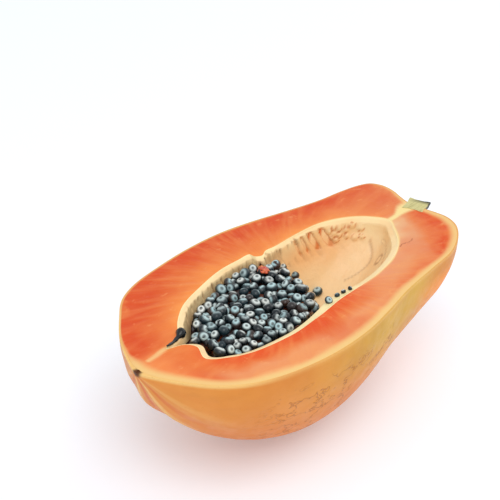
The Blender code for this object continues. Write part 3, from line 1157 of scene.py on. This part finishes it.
@dataclass
class Flesh:
    """The flesh under the cut: its cut face shows, the rest is hidden in the skin."""

    around: int = 640
    bowl_rings: int = 12
    face_rings: int = 84
    under_rings: int = 16
    skin_margin: float = 0.7 * MM
    under_share: float = 0.85
    under_gap: float = 0.4 * MM
    under_margin: float = 2.5 * MM
    bowl_gap: float = 3.0 * MM
    saw: float = 0.08 * MM
    vein_path: Knots = ((108.0, -1.5), (97.0, 0.8), (88.0, -0.6), (82.5, -0.7))
    vein_width: float = 1.9 * MM
    vein_spread: float = 1.7
    streak_path: Knots = ((-86.0, 3.2), (-91.0, 3.4), (-96.0, 2.6), (-102.0, 2.2))
    crack_path: Knots = ((63.5, -22.4), (66.5, -21.6), (70.0, -23.2), (74.0, -22.6))
    crack_width: float = 0.55 * MM
    rim_band: float = 1.2 * MM
    pale_edge_near: float = 5.5 * MM
    pale_edge_far: float = 0.9 * MM
    far_turn: Span = (-0.35, 0.45)
    far_along: Span = (-76.0, -96.0)
    stem_along: Span = (50.0, 78.0)
    middle_along: Span = (0.0, 40.0)
    near_lobe: Span = (6.0, -6.0)
    blossom_along: Span = (-86.0, -102.0)
    blossom_across: Span = (14.0, -4.0)
    flare_along: Span = (88.0, 102.0)
    band_turn: Span = (0.45, 0.9)
    pale_turn: Span = (0.35, -0.25)
    fibre_count: float = 16.0
    edges: tuple[Array, Array] = field(init=False)

    def __post_init__(self) -> None:
        """Reads the cut face's outline as distances from the hollow's centre."""
        near = FRUIT.near.curve[::-1] * np.array([1.0, -1.0])
        self.edges = around_centre(np.vstack([FRUIT.far.curve, near]), HOLLOW.centre)

    def edge(self, angle: Array) -> Array:
        """Returns the flesh's outer edge on the cut face in these directions."""
        outer = np.interp(angle, *self.edges, period=2.0 * math.pi)
        return outer - self.skin_margin

    def build(self) -> Object:
        """Builds and dresses the flesh.

        Returns:
            The piece.
        """
        rings = self.bowl_rings + self.face_rings + self.under_rings
        mesh, unit = sphere_mesh("flesh", self.around, rings)
        ring = ring_number(unit, rings)
        angle = direction(unit)
        rim, edge = HOLLOW.reach(angle), self.edge(angle)
        bowl = np.clip(ring / self.bowl_rings, 0.0, 1.0)
        share = np.clip((ring - self.bowl_rings) / self.face_rings, 0.0, 1.0)
        below = np.clip((ring - self.bowl_rings - self.face_rings) / self.under_rings, 0.0, 1.0)
        out = np.where(bowl < 1.0, rim * np.sin(bowl * math.pi / 2.0), rim + (edge - rim) * share)
        out = np.where(below > 0.0, edge * np.cos(below * math.pi / 2.0), out)
        x, y = out_from(HOLLOW.centre, out, angle)
        z = np.where(bowl < 0.999, HOLLOW.level(x, y, -self.bowl_gap), 0.0)
        wide = 1.0 + self.under_margin / np.maximum(out, self.under_margin)
        room = FRUIT.depth_under(HOLLOW.centre[0] + (x - HOLLOW.centre[0]) * wide, y * wide)
        z = np.where(below > 0.0, -self.under_gap - self.under_share * room, z)
        flat = (bowl > 0.999) & (below <= 0.0)
        points = np.column_stack([x, y, z + FRUIT.cut_height])
        points[flat, 2] += self.saw * (2.0 + noise_at(points[flat], 60.0))
        points[:, 2] = np.maximum(points[:, 2], 0.6 * MM)
        set_points(mesh, points)
        self._mark(mesh, points, angle, share, out - rim)
        face_outwards(mesh)
        return add_piece(mesh, FleshFinish().make(), "fruit")

    def _mark(self, mesh: Mesh, points: Array, angle: Array, share: Array,
              from_rim: Array) -> None:
        """Stores the zones of the cut face: how far out, far or near side, fibres and vein.

        Args:
            mesh: The flesh's mesh.
            points: Its points.
            angle: Their directions from the hollow's centre.
            share: How far they lie from the rim, 0, to the skin, 1.
            from_rim: Their distances out from the rim.
        """
        x, y = points[:, 0], points[:, 1]
        wave = noise_at(points, 14.0, 8.0)
        side = np.sin(angle) + 0.25 * wave + 0.6 * fade(x, *self.far_along)
        near_lobe = fade(y, *self.near_lobe)
        stemward = fade(x + 8.0 * MM * wave, *self.stem_along) * (0.12 + 0.88 * near_lobe)
        middle = 0.55 * fade(x + 10.0 * MM * wave, *self.middle_along) * near_lobe
        blossomward = fade(x, *self.blossom_along) * fade(y, *self.blossom_across)
        around = np.column_stack([np.cos(angle), np.sin(angle), 0.1 * share]) * self.fibre_count
        fibre = 0.5 + 0.5 * noise_at(around, 1.0) + 0.3 * noise_at(around, 2.7, 3.0)
        wobble = 1.0 + 0.35 * noise_at(points, 90.0, 4.0)
        width = self.vein_width * wobble * (1.0 + self.vein_spread * fade(x, *self.flare_along))
        vein = smooth_step(gap_to(points, self.vein_path), width * 1.3, width * 0.5)
        streak = 0.55 * smooth_step(gap_to(points, self.streak_path), width * 1.1, width * 0.3)
        band = smooth_step(from_rim / wobble, self.rim_band * 1.5, self.rim_band * 0.5)
        band = band * smooth_step(np.cos(angle), *self.band_turn) * 0.8
        from_crack = gap_to(points, self.crack_path)
        crack = smooth_step(from_crack, self.crack_width, 0.3 * self.crack_width) * 0.8
        nearness = smooth_step(np.sin(angle) - 0.5 * blossomward, *self.pale_turn)
        pale = self.pale_edge_far + (self.pale_edge_near - self.pale_edge_far) * nearness
        pale = pale * (1.0 + 0.5 * noise_at(points, 30.0, 12.0))
        from_edge = self.edge(angle) - np.hypot(x - HOLLOW.centre[0], y - HOLLOW.centre[1])
        pale_edge = smooth_step(from_edge, pale * 1.15, pale * 0.25) * (0.55 + 0.35 * nearness)
        store(
            mesh,
            flesh_share=share,
            # Where the far ramp, partly painted shade, takes over.
            far_side=smooth_step(side, *self.far_turn),
            stem_side=np.maximum(stemward, middle),
            blossom_side=0.8 * blossomward,
            fibre=fibre,
            vein=np.maximum(np.maximum(vein, streak), band),
            crack=crack,
            pale_edge=pale_edge,
        )


@dataclass(frozen=True)
class CombRow:
    """One row of short grooves: its ends, the depths of their tops and feet, and its strength."""

    ends: Span
    tops: Span
    feet: Span
    strength: float


@dataclass
class Lining:
    """The lining of the hollow: a thin closed membrane with its ridges, strips and nodules."""

    around: int = 640
    top_rings: int = 118
    under_rings: int = 10
    lip: float = 0.9 * MM
    lip_height: float = 0.22 * MM
    thickness: float = 1.4 * MM
    comb_rows: tuple[CombRow, ...] = (
        CombRow((-70.0 * MM, 42.0 * MM), (0.2 * MM, 2.2 * MM), (4.0 * MM, 12.0 * MM), 1.0),
        CombRow((8.0 * MM, 60.0 * MM), (8.0 * MM, 13.0 * MM), (15.0 * MM, 22.0 * MM), 0.45),
    )
    comb_gap: Span = (2.4 * MM, 5.6 * MM)
    comb_depth: float = 1.0 * MM
    comb_width: float = 1.1 * MM
    comb_slant: float = 0.25
    slots: tuple[Triple, ...] = (
        (45.2 * MM, 1.8 * MM, 1.0), (52.7 * MM, 2.2 * MM, 1.0), (38.4 * MM, 1.2 * MM, 0.7),
        (32.6 * MM, 1.0 * MM, 0.5),
    )
    slot_slant: float = 0.44
    slot_level: float = 4.8 * MM
    slot_depth: float = 2.0 * MM
    nodule_start: Span = (56.0 * MM, 20.5 * MM)
    nodule_end: Span = (72.5 * MM, 11.5 * MM)
    nodule_depths: Span = (3.0 * MM, 10.5 * MM)
    nodule_draws: int = 160
    nodule_spacing: float = 3.1 * MM
    nodule_radius: float = 2.0 * MM
    nodule_height: float = 1.3 * MM
    crease_paths: tuple[Knots, ...] = (
        ((72.0, 4.5), (69.5, 1.0), (65.0, -0.5), (59.0, 1.5), (51.8, 5.2)),
        ((74.5, -2.0), (72.0, -5.5), (66.0, -10.5), (58.0, -12.5)),
        ((10.5, 27.0), (14.0, 25.0), (18.0, 25.6), (21.5, 23.6)),
    )
    crease_width: float = 1.1 * MM
    warm_place: Span = (40.0 * MM, 12.0 * MM)
    warm_size: Span = (24.0 * MM, 8.0 * MM)
    ring_place: Span = (65.2 * MM, -6.8 * MM)
    ring_radius: float = 1.9 * MM
    blush_along: Span = (-5.0, 40.0)
    blush_depth: Span = (2.0, 16.0)
    warm_across: Span = (4.0, 14.0)
    comb_turn: Span = (0.12, 0.4)
    slot_turn: Span = (0.05, 0.25)
    strip_ends: tuple[Span, Span] = ((24.0, 30.0), (60.0, 54.0))
    strip_across: Span = (14.0, 19.0)
    strip_depth: Span = (0.5, 3.0)
    strip_height: float = 0.7 * MM

    def build(self) -> Object:
        """Builds and dresses the lining.

        Returns:
            The piece.
        """
        rings = self.top_rings + self.under_rings
        mesh, unit = sphere_mesh("lining", self.around, rings)
        ring = ring_number(unit, rings)
        angle = direction(unit)
        reach = HOLLOW.reach(angle) + self.lip
        top = np.clip(ring / self.top_rings, 0.0, 1.0)
        below = np.clip((ring - self.top_rings) / self.under_rings, 0.0, 1.0)
        curl = np.where(below > 0.0, np.cos(below * math.pi / 2.0), np.sin(top * math.pi / 2.0))
        out = reach * curl
        x, y = out_from(HOLLOW.centre, out, angle)
        past = out - HOLLOW.reach(angle)
        lip = self.lip_height * np.exp(-((past / (0.6 * MM)) ** 2))
        lip = lip - 0.5 * MM * smooth_step(past, 0.2 * MM, self.lip)
        z = HOLLOW.level(x, y) + lip - np.where(below > 0.0, self.thickness, 0.0)
        points = np.column_stack([x, y, z + FRUIT.cut_height])
        set_points(mesh, points)
        face_outwards(mesh)
        relief, crease, orange = self._relief(points, angle, HOLLOW.reach(angle) - out)
        relief = np.where(below > 0.0, 0.0, relief * fade(-past, 0.0, 1.5))
        set_points(mesh, points + normals_of(mesh) * relief[:, None])
        near_ledge = smooth_step(-past, HOLLOW.ledge_near + 2.0 * MM, 3.0 * MM)
        near_ledge = near_ledge * smooth_step(-np.sin(angle), 0.2, 0.8)
        border = np.maximum(fade(-past, 1.6, 0.2), near_ledge)
        down = FRUIT.cut_height - points[:, 2]
        warm = np.exp(-(((x - self.warm_place[0]) / self.warm_size[0]) ** 2)
                      - ((down - self.warm_place[1]) / self.warm_size[1]) ** 2)
        store(
            mesh,
            border=border * np.where(np.cos(angle) > 0.6, 0.45, 0.85),
            # Painted shade in the recesses.
            crease=crease,
            orange=orange,
            blush=0.6 * fade(x, *self.blush_along) * fade(down, *self.blush_depth),
            warm=0.6 * warm * fade(y, *self.warm_across),
        )
        face_outwards(mesh)
        return add_piece(mesh, LiningFinish().make(), "fruit")

    def _relief(self, points: Array, angle: Array,
                inside: Array) -> tuple[Array, Array, Array]:
        """Works out the surface detail of the wall.

        Args:
            points: The wall's points.
            angle: Their directions from the hollow's centre.
            inside: Their distances in from the rim.

        Returns:
            How far each point stands out, its painted shade in recesses, and how orange it is.
        """
        x, y = points[:, 0], points[:, 1]
        down = FRUIT.cut_height - points[:, 2]
        wave = noise_at(points, 70.0, 1.0)
        draw = random.Random(7)
        comb = np.maximum.reduce([
            self._comb(row, x + 0.7 * MM * wave, down, draw) for row in self.comb_rows
        ])
        comb = comb * smooth_step(np.sin(angle), *self.comb_turn) * fade(inside, 0.3, 1.5)
        slots = self._slots(x + 0.6 * MM * wave, down)
        slots = slots * smooth_step(np.sin(angle), *self.slot_turn)
        nodules = self._nodules(x + 0.8 * MM * wave, y, down, draw)
        lines = np.zeros(len(points))
        for path in self.crease_paths:
            gap = gap_to(points, path) + 0.3 * MM * wave
            line = smooth_step(gap, self.crease_width, 0.1 * self.crease_width)
            lines = np.maximum(lines, line)
        from_ring = np.hypot(x - self.ring_place[0], y - self.ring_place[1]) - self.ring_radius
        ring = fade(np.abs(from_ring), 0.7, 0.2)
        strips = fade(x, *self.strip_ends[0]) * fade(x, *self.strip_ends[1])
        strips = strips * fade(y, *self.strip_across) * fade(inside, *self.strip_depth)
        fold = 0.5 * MM * noise_at(points * np.array([0.6, 1.4, 1.0]), 55.0, 6.0)
        relief = fold + 0.15 * MM * wave + self.strip_height * strips
        relief = relief + self.nodule_height * nodules
        relief = relief - self.comb_depth * comb - self.slot_depth * slots
        relief = relief - 0.5 * MM * np.maximum(lines, ring)
        edge = smooth_step(nodules, 0.0, 0.08) * smooth_step(nodules, 0.45, 0.08)
        # Painted shade in the recesses: comb grooves, nodule feet, crease lines, the ring and the
        # slots.
        crease = np.maximum.reduce([
            0.75 * comb, 0.35 * edge, 0.35 * lines, 0.45 * ring, 0.25 * slots,
        ])
        return relief, crease, np.maximum(slots, 0.7 * edge)

    def _comb(self, row: CombRow, x: Array, down: Array,
              draw: random.Random) -> Array:
        """Works out one uneven row of short grooves on the far wall.

        Args:
            row: Where the row lies.
            x: Distances along the fruit.
            down: Depths under the cut.
            draw: Where the random numbers come from.

        Returns:
            How far each point lies in a groove, from 0 to 1.
        """
        marks = np.zeros(len(x))
        place = row.ends[0]
        while place < row.ends[1]:
            width = self.comb_width * draw.uniform(0.6, 1.25)
            top, foot = draw.uniform(*row.tops), draw.uniform(*row.feet)
            slant = self.comb_slant + draw.uniform(-0.2, 0.2)
            gap = np.abs(x - place - slant * down)
            mark = smooth_step(gap, width, 0.15 * width) * smooth_step(down, top, top + 1.2 * MM)
            mark = mark * smooth_step(down, foot, top + 0.5 * (foot - top))
            mark = mark * draw.uniform(0.35, 1.0) * row.strength
            marks = np.maximum(marks, mark)
            place += draw.uniform(*self.comb_gap)
        return marks

    def _slots(self, x: Array, down: Array) -> Array:
        """Works out the slanted orange slots.

        Args:
            x: Distances along the fruit.
            down: Depths under the cut.

        Returns:
            How far each point lies in a slot, from 0 to 1.
        """
        marks = np.zeros(len(x))
        for place, width, strength in self.slots:
            gap = np.abs(x - place - self.slot_slant * (down - self.slot_level))
            mark = smooth_step(gap, width, 0.35 * width) * fade(down, 1.0, 2.4)
            marks = np.maximum(marks, strength * mark * fade(down, 14.0, 11.0))
        return marks

    def _nodules(self, x: Array, y: Array, down: Array,
                 draw: random.Random) -> Array:
        """Works out the cluster of small nodules on the far wall, near the stem end.

        Args:
            x: Distances along the fruit.
            y: Distances across it.
            down: Depths under the cut.
            draw: Where the random numbers come from.

        Returns:
            The height of the nodule at each point, from 0 to 1.
        """
        start, end = np.array(self.nodule_start), np.array(self.nodule_end)
        length = float(np.hypot(*(end - start)))
        run = (end - start) / length
        along = (x - start[0]) * run[0] + (y - start[1]) * run[1]
        off_line = np.abs((y - start[1]) * run[0] - (x - start[0]) * run[1])
        places: list[Span] = []
        heights = np.zeros(len(x))
        for _ in range(self.nodule_draws):
            place = (draw.uniform(0.0, length), draw.uniform(*self.nodule_depths))
            if any(math.dist(place, other) < self.nodule_spacing for other in places):
                continue
            places.append(place)
            radius = self.nodule_radius * draw.uniform(0.7, 1.15)
            gap = np.hypot(along - place[0], down - place[1]) / radius
            heights = np.maximum(heights, np.clip(1.0 - gap ** 2, 0.0, 1.0))
        return heights * fade(off_line, 9.0, 7.0)


@dataclass(frozen=True)
class SeedPlace:
    """Where one seed lies."""

    centre: Vector
    radius: float


@dataclass
class Seeds:
    """The heap: pulp under it, the seeds of two layers and the loose ones on the wall."""

    radius: float = 2.7 * MM
    spread: float = 0.12
    stretch: float = 1.14
    sink: float = 0.25
    spacing: float = 0.93
    tries: int = 6000
    fill_tries: int = 9000
    fill_drop: float = 2.0 * MM
    fill_spacing: float = 0.78
    clearance: float = 1.7 * MM
    inset: float = 3.6 * MM
    loose_gap: float = 1.0 * MM
    around: int = 16
    rings: int = 14
    # Where the painted highlight ring sits on each seed, as a tilt from its top, and how wide it
    # is.
    glint_tilt: float = 0.50
    glint_width: float = 0.26
    draw: random.Random = field(default_factory=lambda: random.Random(41))
    loose: tuple[Triple, ...] = (
        (36.0, 11.5, 2.7), (28.8, 9.0, 2.6), (27.5, 21.0, 2.4), (20.5, 23.5, 2.0),
        (-3.0, -27.6, 2.0), (4.0, -27.4, 1.3), (8.8, -27.6, 1.3), (13.5, -28.2, 1.2),
    )
    loose_sink: float = 0.25
    lean: float = 0.45
    height_share: Span = (0.86, 1.0)
    # Skews each seed's painted highlight strength toward full.
    glint_bias: float = 0.2
    pulp_grid: tuple[int, int] = (200, 60)
    pulp_drop: float = 0.8 * MM
    pulp_bumps: float = 0.6 * MM
    stalk_sides: int = 12
    stalk_cuts: int = 9
    stalk_length: float = 15.0 * MM
    stalk_radii: Span = (0.5 * MM, 1.3 * MM)
    stalk_place: Triple = (-81.4 * MM, 5.0 * MM, 0.7 * MM)
    stalk_turn: Triple = (0.0, math.radians(93.0), math.radians(16.0))
    scrap_grid: tuple[int, int] = (32, 20)
    scrap_size: Triple = (5.0, 3.0, 2.0)
    scrap_turn: Triple = (0.2, 0.35, 0.9)
    scrap_place: Triple = (0.0, 19.5 * MM, -3.0 * MM)

    def build(self) -> list[Object]:
        """Builds and dresses the pulp, the heap's seeds, the loose seeds and the scrap.

        Returns:
            The pieces.
        """
        finish = SeedFinish().make()
        loose = self._loose_places()
        upper = self._scatter(self.tries, 0.0, self.spacing, [], loose)
        lower = self._scatter(self.fill_tries, self.fill_drop, self.fill_spacing, upper, loose)
        tail = self._tail()
        return [
            self._pulp(),
            self._joined("heap_seeds", upper + lower, finish, "seeds"),
            self._joined("loose_seeds", loose, finish, "fruit"),
            add_piece(tail, finish, "seeds"),
            self._scrap(),
        ]

    def reach(self, angle: float) -> float:
        """Finds how far the heap reaches from its centre in one direction.

        Args:
            angle: The direction.

        Returns:
            The distance to where the heap meets the wall.
        """
        distances = np.linspace(0.0, 0.10, 400)
        x, y = out_from(HEAP.centre, distances, angle)
        inside = HOLLOW.level(x, y, self.inset) < HEAP.top(x, y)
        outside = np.flatnonzero(~inside)
        return float(distances[outside[0]]) if len(outside) else float(distances[-1])

    def _scatter(self, tries: int, drop: float, spacing: float, others: list[SeedPlace],
                 loose: list[SeedPlace]) -> list[SeedPlace]:
        """Draws places on the heap and keeps those clear of each other.

        Args:
            tries: Places drawn.
            drop: How far under the heap's surface they lie.
            spacing: The least gap between centres, as a share of both radii.
            others: Seeds that are already there.
            loose: Seeds on the wall, which keep a gap of their own.

        Returns:
            The kept places.
        """
        kept: list[SeedPlace] = []
        reaches = {step: self.reach(step / 90.0 * math.pi) for step in range(-90, 91)}
        for _ in range(tries):
            angle = self.draw.uniform(-math.pi, math.pi)
            reach = reaches[round(angle / math.pi * 90.0)] * math.sqrt(self.draw.random())
            x = HEAP.centre[0] + reach * math.cos(angle)
            y = HEAP.centre[1] + reach * math.sin(angle)
            radius = self.radius * (1.0 + self.draw.uniform(-self.spread, self.spread))
            top = float(HEAP.top(np.array(x), np.array(y)))
            z = FRUIT.cut_height + top + radius * (1.0 - 2.0 * self.sink) - drop
            centre = Vector((x, y, z))
            near = any((centre - seed.centre).length < spacing * (radius + seed.radius)
                       for seed in kept + others)
            room = radius * self.stretch + self.loose_gap
            near = near or any((centre - seed.centre).length < room + seed.radius
                               for seed in loose)
            if not near and self._clear(centre, radius):
                kept.append(SeedPlace(centre, radius))
        return kept

    def _clear(self, centre: Vector, radius: float) -> bool:
        """Finds whether a seed stays off the lining.

        Args:
            centre: Its centre.
            radius: Its radius.

        Returns:
            True where it is clear.
        """
        reach = radius * self.stretch + self.clearance
        turns = np.repeat(np.arange(12) * math.tau / 12.0, 4)
        dips = np.tile(np.arange(4) * math.pi / 8.0, 12)
        x = centre.x + reach * np.cos(dips) * np.cos(turns)
        y = centre.y + reach * np.cos(dips) * np.sin(turns)
        z = centre.z - reach * np.sin(dips)
        return bool((z > FRUIT.cut_height + HOLLOW.level(x, y)).all())

    def _loose_places(self) -> list[SeedPlace]:
        """Lays the loose seeds, a little sunk in the lining.

        Returns:
            Their places.
        """
        places = []
        for x_mm, y_mm, radius_mm in self.loose:
            x, y, radius = x_mm * MM, y_mm * MM, radius_mm * MM
            level = float(HOLLOW.level(np.array(x), np.array(y)))
            z = FRUIT.cut_height + level + radius * (1.0 - 2.0 * self.loose_sink)
            places.append(SeedPlace(Vector((x, y, z)), radius))
        return places

    def _joined(self, name: str, places: list[SeedPlace], finish: Material, node: str) -> Object:
        """Makes one mesh of many seeds.

        Args:
            name: The piece's name.
            places: Where the seeds lie.
            finish: Their material.
            node: The CAD node that they stand for.

        Returns:
            The piece.
        """
        heap = bmesh.new()
        seed, unit = sphere_mesh("one_seed", self.around, self.rings)
        # The ring attribute is a painted highlight around each seed's top; clear sets how
        # strongly it shows.
        tilt = np.arccos(np.clip(unit[:, 2], -1.0, 1.0))
        ring = np.exp(-((tilt - self.glint_tilt) / self.glint_width) ** 2)
        store(seed, ring=ring, tone=tilt * 0.0, clear=tilt * 0.0)
        draw = self.draw
        for place in places:
            shades = {"tone": draw.random(), "clear": draw.random() ** self.glint_bias}
            for key, value in shades.items():
                values = np.full(len(unit), value, np.float32)
                seed.attributes[key].data.foreach_set("value", values)
            roll, pitch = draw.gauss(0.0, self.lean), draw.gauss(0.0, self.lean)
            lean = (roll, pitch, draw.uniform(0.0, 6.28))
            sizes = np.array([self.stretch, 1.0, draw.uniform(*self.height_share)]) * place.radius
            turned = (unit * sizes) @ np.array(Euler(lean).to_matrix()).T
            set_points(seed, turned + np.array(place.centre))
            heap.from_mesh(seed)
        return add_piece(as_mesh(heap, name), finish, node)

    def _pulp(self) -> Object:
        """Makes the heap's own core, bumpy and wet, a little smaller than the hollow.

        Returns:
            The piece.
        """
        mesh, unit = sphere_mesh("pulp", *self.pulp_grid)
        angle = direction(unit)
        share = np.clip(np.hypot(unit[:, 0], unit[:, 1]), 0.0, 1.0)
        turns = np.linspace(-math.pi, math.pi, 361)
        reaches = np.array([self.reach(step / 180.0 * math.pi) for step in range(-180, 181)])
        reach = np.interp(angle, turns, reaches) * share
        x, y = out_from(HEAP.centre, reach, angle)
        above = unit[:, 2] > -1e-6
        low = HOLLOW.level(x, y, self.inset)
        high = np.maximum(HEAP.top(x, y) - self.pulp_drop, low)
        z = FRUIT.cut_height + np.where(above, high, low)
        points = np.column_stack([x, y, z])
        bumps = self.pulp_bumps * noise_at(points[above], 220.0)
        points[above, 2] += bumps * smooth_step(share[above], 1.0, 0.9)
        set_points(mesh, points)
        face_outwards(mesh)
        return add_piece(mesh, PulpFinish().make(), "seeds")

    def _tail(self) -> Mesh:
        """Makes the seed with a thin dried stalk at the hollow's pointed end.

        Returns:
            Its mesh.
        """
        tail = bmesh.new()
        # The stalk seed's tone, painted highlight ring and its strength all stay at zero.
        for key in ("tone", "ring", "clear"):
            tail.verts.layers.float.new(key)
        low_end, high_end = self.stalk_radii
        bmesh.ops.create_cone(tail, cap_ends=True, segments=self.stalk_sides,
                              depth=self.stalk_length, radius1=low_end, radius2=high_end)
        divide_sides(tail, self.stalk_cuts)
        for vert in tail.verts:
            along = vert.co.z / (self.stalk_length / 2.0)
            knob = 1.2 * math.exp(-((along - 0.85) / 0.25) ** 2)
            swell = 1.0 + knob + 0.15 * math.sin(9.0 * along)
            vert.co.x = vert.co.x * swell + 0.8 * MM * math.cos(2.2 * along)
            vert.co.y *= swell
        x, y, rise = self.stalk_place
        lie = Matrix.Translation((x, y, FRUIT.cut_height + rise))
        turn = Euler(self.stalk_turn).to_matrix().to_4x4()
        bmesh.ops.transform(tail, matrix=lie @ turn, verts=tail.verts)
        bmesh.ops.recalc_face_normals(tail, faces=tail.faces)
        return as_mesh(tail, "dried_stalk")

    def _scrap(self) -> Object:
        """Makes the red scrap of flesh that lies among the seeds.

        Returns:
            The piece.
        """
        mesh, unit = sphere_mesh("red_scrap", *self.scrap_grid)
        lumps = 1.0 + 0.35 * noise_at(unit, 2.2)
        points = unit * lumps[:, None] * np.array(self.scrap_size) * MM
        spin = np.array(Euler(self.scrap_turn).to_matrix())
        x, y, rise = self.scrap_place
        set_points(mesh, points @ spin.T + np.array([x, y, FRUIT.cut_height + rise]))
        face_outwards(mesh)
        return add_piece(mesh, FlakeFinish().make(), "seeds")


@dataclass
class Stem:
    """The halved stem stub in its pocket."""

    root: Span = (99.5 * MM, -3.0 * MM)
    end: Span = (111.5 * MM, 0.2 * MM)
    root_radius: float = 6.2 * MM
    waist_radius: float = 5.7 * MM
    end_radius: float = 6.4 * MM
    sides: int = 96
    cuts: int = 40
    face_rise: float = 0.45 * MM
    flutes: int = 9
    flute_depth: float = 0.22 * MM
    face_insets: int = 4
    inset_width: float = 0.9 * MM
    inset_dip: float = 0.12 * MM
    grain: float = 0.0002
    sharp_angle: float = 40.0

    def build(self) -> Object:
        """Builds and dresses the stub.

        Returns:
            The piece.
        """
        root = Vector((*self.root, FRUIT.cut_height))
        end = Vector((*self.end, FRUIT.cut_height))
        length = (end - root).length
        stub = bmesh.new()
        bmesh.ops.create_cone(stub, cap_ends=True, segments=self.sides, depth=length,
                              radius1=self.root_radius, radius2=self.end_radius)
        divide_sides(stub, self.cuts)
        caps = [face for face in stub.faces if len(face.verts) > 4]
        for step in range(self.face_insets):
            bmesh.ops.inset_region(stub, faces=caps, thickness=self.inset_width,
                                   depth=-self.inset_dip * step)
        for vert in stub.verts:
            middle = 1.0 - (2.0 * vert.co.z / length) ** 2
            around = Vector((vert.co.x, vert.co.y, 0.0))
            if around.length > self.waist_radius * 0.9:
                turn = math.atan2(around.y, around.x)
                ripple = self.flute_depth * math.cos(self.flutes * turn)
                pull = middle * (around.length - self.waist_radius) + ripple
                pull += self.grain * noise.noise(vert.co * 400.0)
                vert.co -= around.normalized() * pull
        turned = (end - root).to_track_quat("Z", "Y").to_matrix().to_4x4()
        lie = Matrix.Translation((root + end) / 2.0)
        bmesh.ops.transform(stub, matrix=lie @ turned, verts=stub.verts)
        clear_above(stub, FRUIT.cut_height + self.face_rise)
        open_edges = [edge for edge in stub.edges if edge.is_boundary]
        bmesh.ops.holes_fill(stub, edges=open_edges, sides=0)
        bmesh.ops.recalc_face_normals(stub, faces=stub.faces)
        mesh = as_mesh(stub, "stem_stub")
        mesh.set_sharp_from_angle(angle=math.radians(self.sharp_angle))
        points = points_of(mesh)
        nearness = np.hypot(points[:, 0] - self.end[0], points[:, 1] - self.end[1] + 4.5 * MM)
        at_end = smooth_step(points[:, 0], self.end[0] - 2.5 * MM, self.end[0] - 0.8 * MM)
        store(mesh, bark=fade(FRUIT.cut_height - points[:, 2], 0.0, 0.5),
              dark_end=fade(nearness, 4.2, 2.4) * at_end)
        return add_piece(mesh, StemFinish().make(), "stem")


@dataclass(frozen=True)
class SoftLight:
    """One soft square light that faces the fruit."""

    name: str
    place: Triple
    size: float
    power: float
    colour: Triple

    def hang(self) -> None:
        """Puts the light in the scene."""
        lamp = bpy.data.lights.new(self.name, "AREA")
        lamp.size = self.size
        lamp.energy = self.power
        lamp.color = self.colour
        item = put_in_scene(self.name, lamp)
        item.location = self.place
        item.rotation_euler = (-Vector(self.place)).to_track_quat("-Z", "Y").to_euler()


@dataclass
class Studio:
    """The floor, the soft lights and the camera."""

    azimuth: float = -49.64
    elevation: float = 32.21
    distance: float = 0.8
    focal_px: float = 1541.4
    aim_px: Span = (40.0, 29.0)
    sensor: float = 36.0
    form_shift: float = -1.5 * MM
    floor_side: float = 8.0
    lights: tuple[SoftLight, ...] = (
        SoftLight("key", (-0.45, -0.55, 1.25), 0.9, 7.0, (1.0, 0.985, 0.96)),
        SoftLight("side", (1.1, -0.2, 0.7), 1.0, 2.4, (1.0, 0.98, 0.95)),
    )
    sky: tuple[float, ...] = (0.93, 0.96, 1.0, 1.0)
    sky_strength: float = 0.80

    def build(self) -> None:
        """Builds the stage."""
        self._floor()
        self._camera()
        for light in self.lights:
            light.hang()
        world = bpy.data.worlds.new("studio")
        world.use_nodes = True
        backdrop = world.node_tree.nodes["Background"]
        backdrop.inputs["Color"].default_value = self.sky
        backdrop.inputs["Strength"].default_value = self.sky_strength
        bpy.context.scene.world = world
        bpy.context.scene.view_settings.view_transform = "Standard"
        bpy.context.scene.view_settings.look = "None"

    def _floor(self) -> None:
        """Lays the pale floor."""
        sheet = bmesh.new()
        bmesh.ops.create_grid(sheet, x_segments=1, y_segments=1, size=self.floor_side / 2.0)
        mesh = as_mesh(sheet, "floor")
        mesh.materials.append(FloorFinish().make())
        put_in_scene("floor", mesh)

    def _camera(self) -> None:
        """Sets the camera at the photograph's viewing angle."""
        turn, rise = math.radians(self.azimuth), math.radians(self.elevation)
        level = math.cos(rise)
        back = Vector((math.sin(turn) * level, -math.cos(turn) * level, math.sin(rise)))
        right = Vector((math.cos(turn), math.sin(turn), 0.0))
        up = back.cross(right)
        middle = Vector((self.form_shift, 0.0, FRUIT.cut_height))
        step = self.distance / self.focal_px
        target = middle - right * self.aim_px[0] * step + up * self.aim_px[1] * step
        lens = bpy.data.cameras.new("camera")
        lens.sensor_width = self.sensor
        lens.lens = self.focal_px / PHOTO_SIDE * self.sensor
        camera = put_in_scene("camera", lens)
        camera.location = middle + back * self.distance
        camera.rotation_euler = (target - camera.location).to_track_quat("-Z", "Y").to_euler()
        bpy.context.scene.camera = camera


def main() -> None:
    """Builds the stage and every piece."""
    logging.basicConfig(level=logging.INFO, format="%(message)s")
    for assembly in (Studio, Skin, Flesh, Lining, Seeds, Stem):
        assembly().build()


if __name__ == "__main__":
    main()
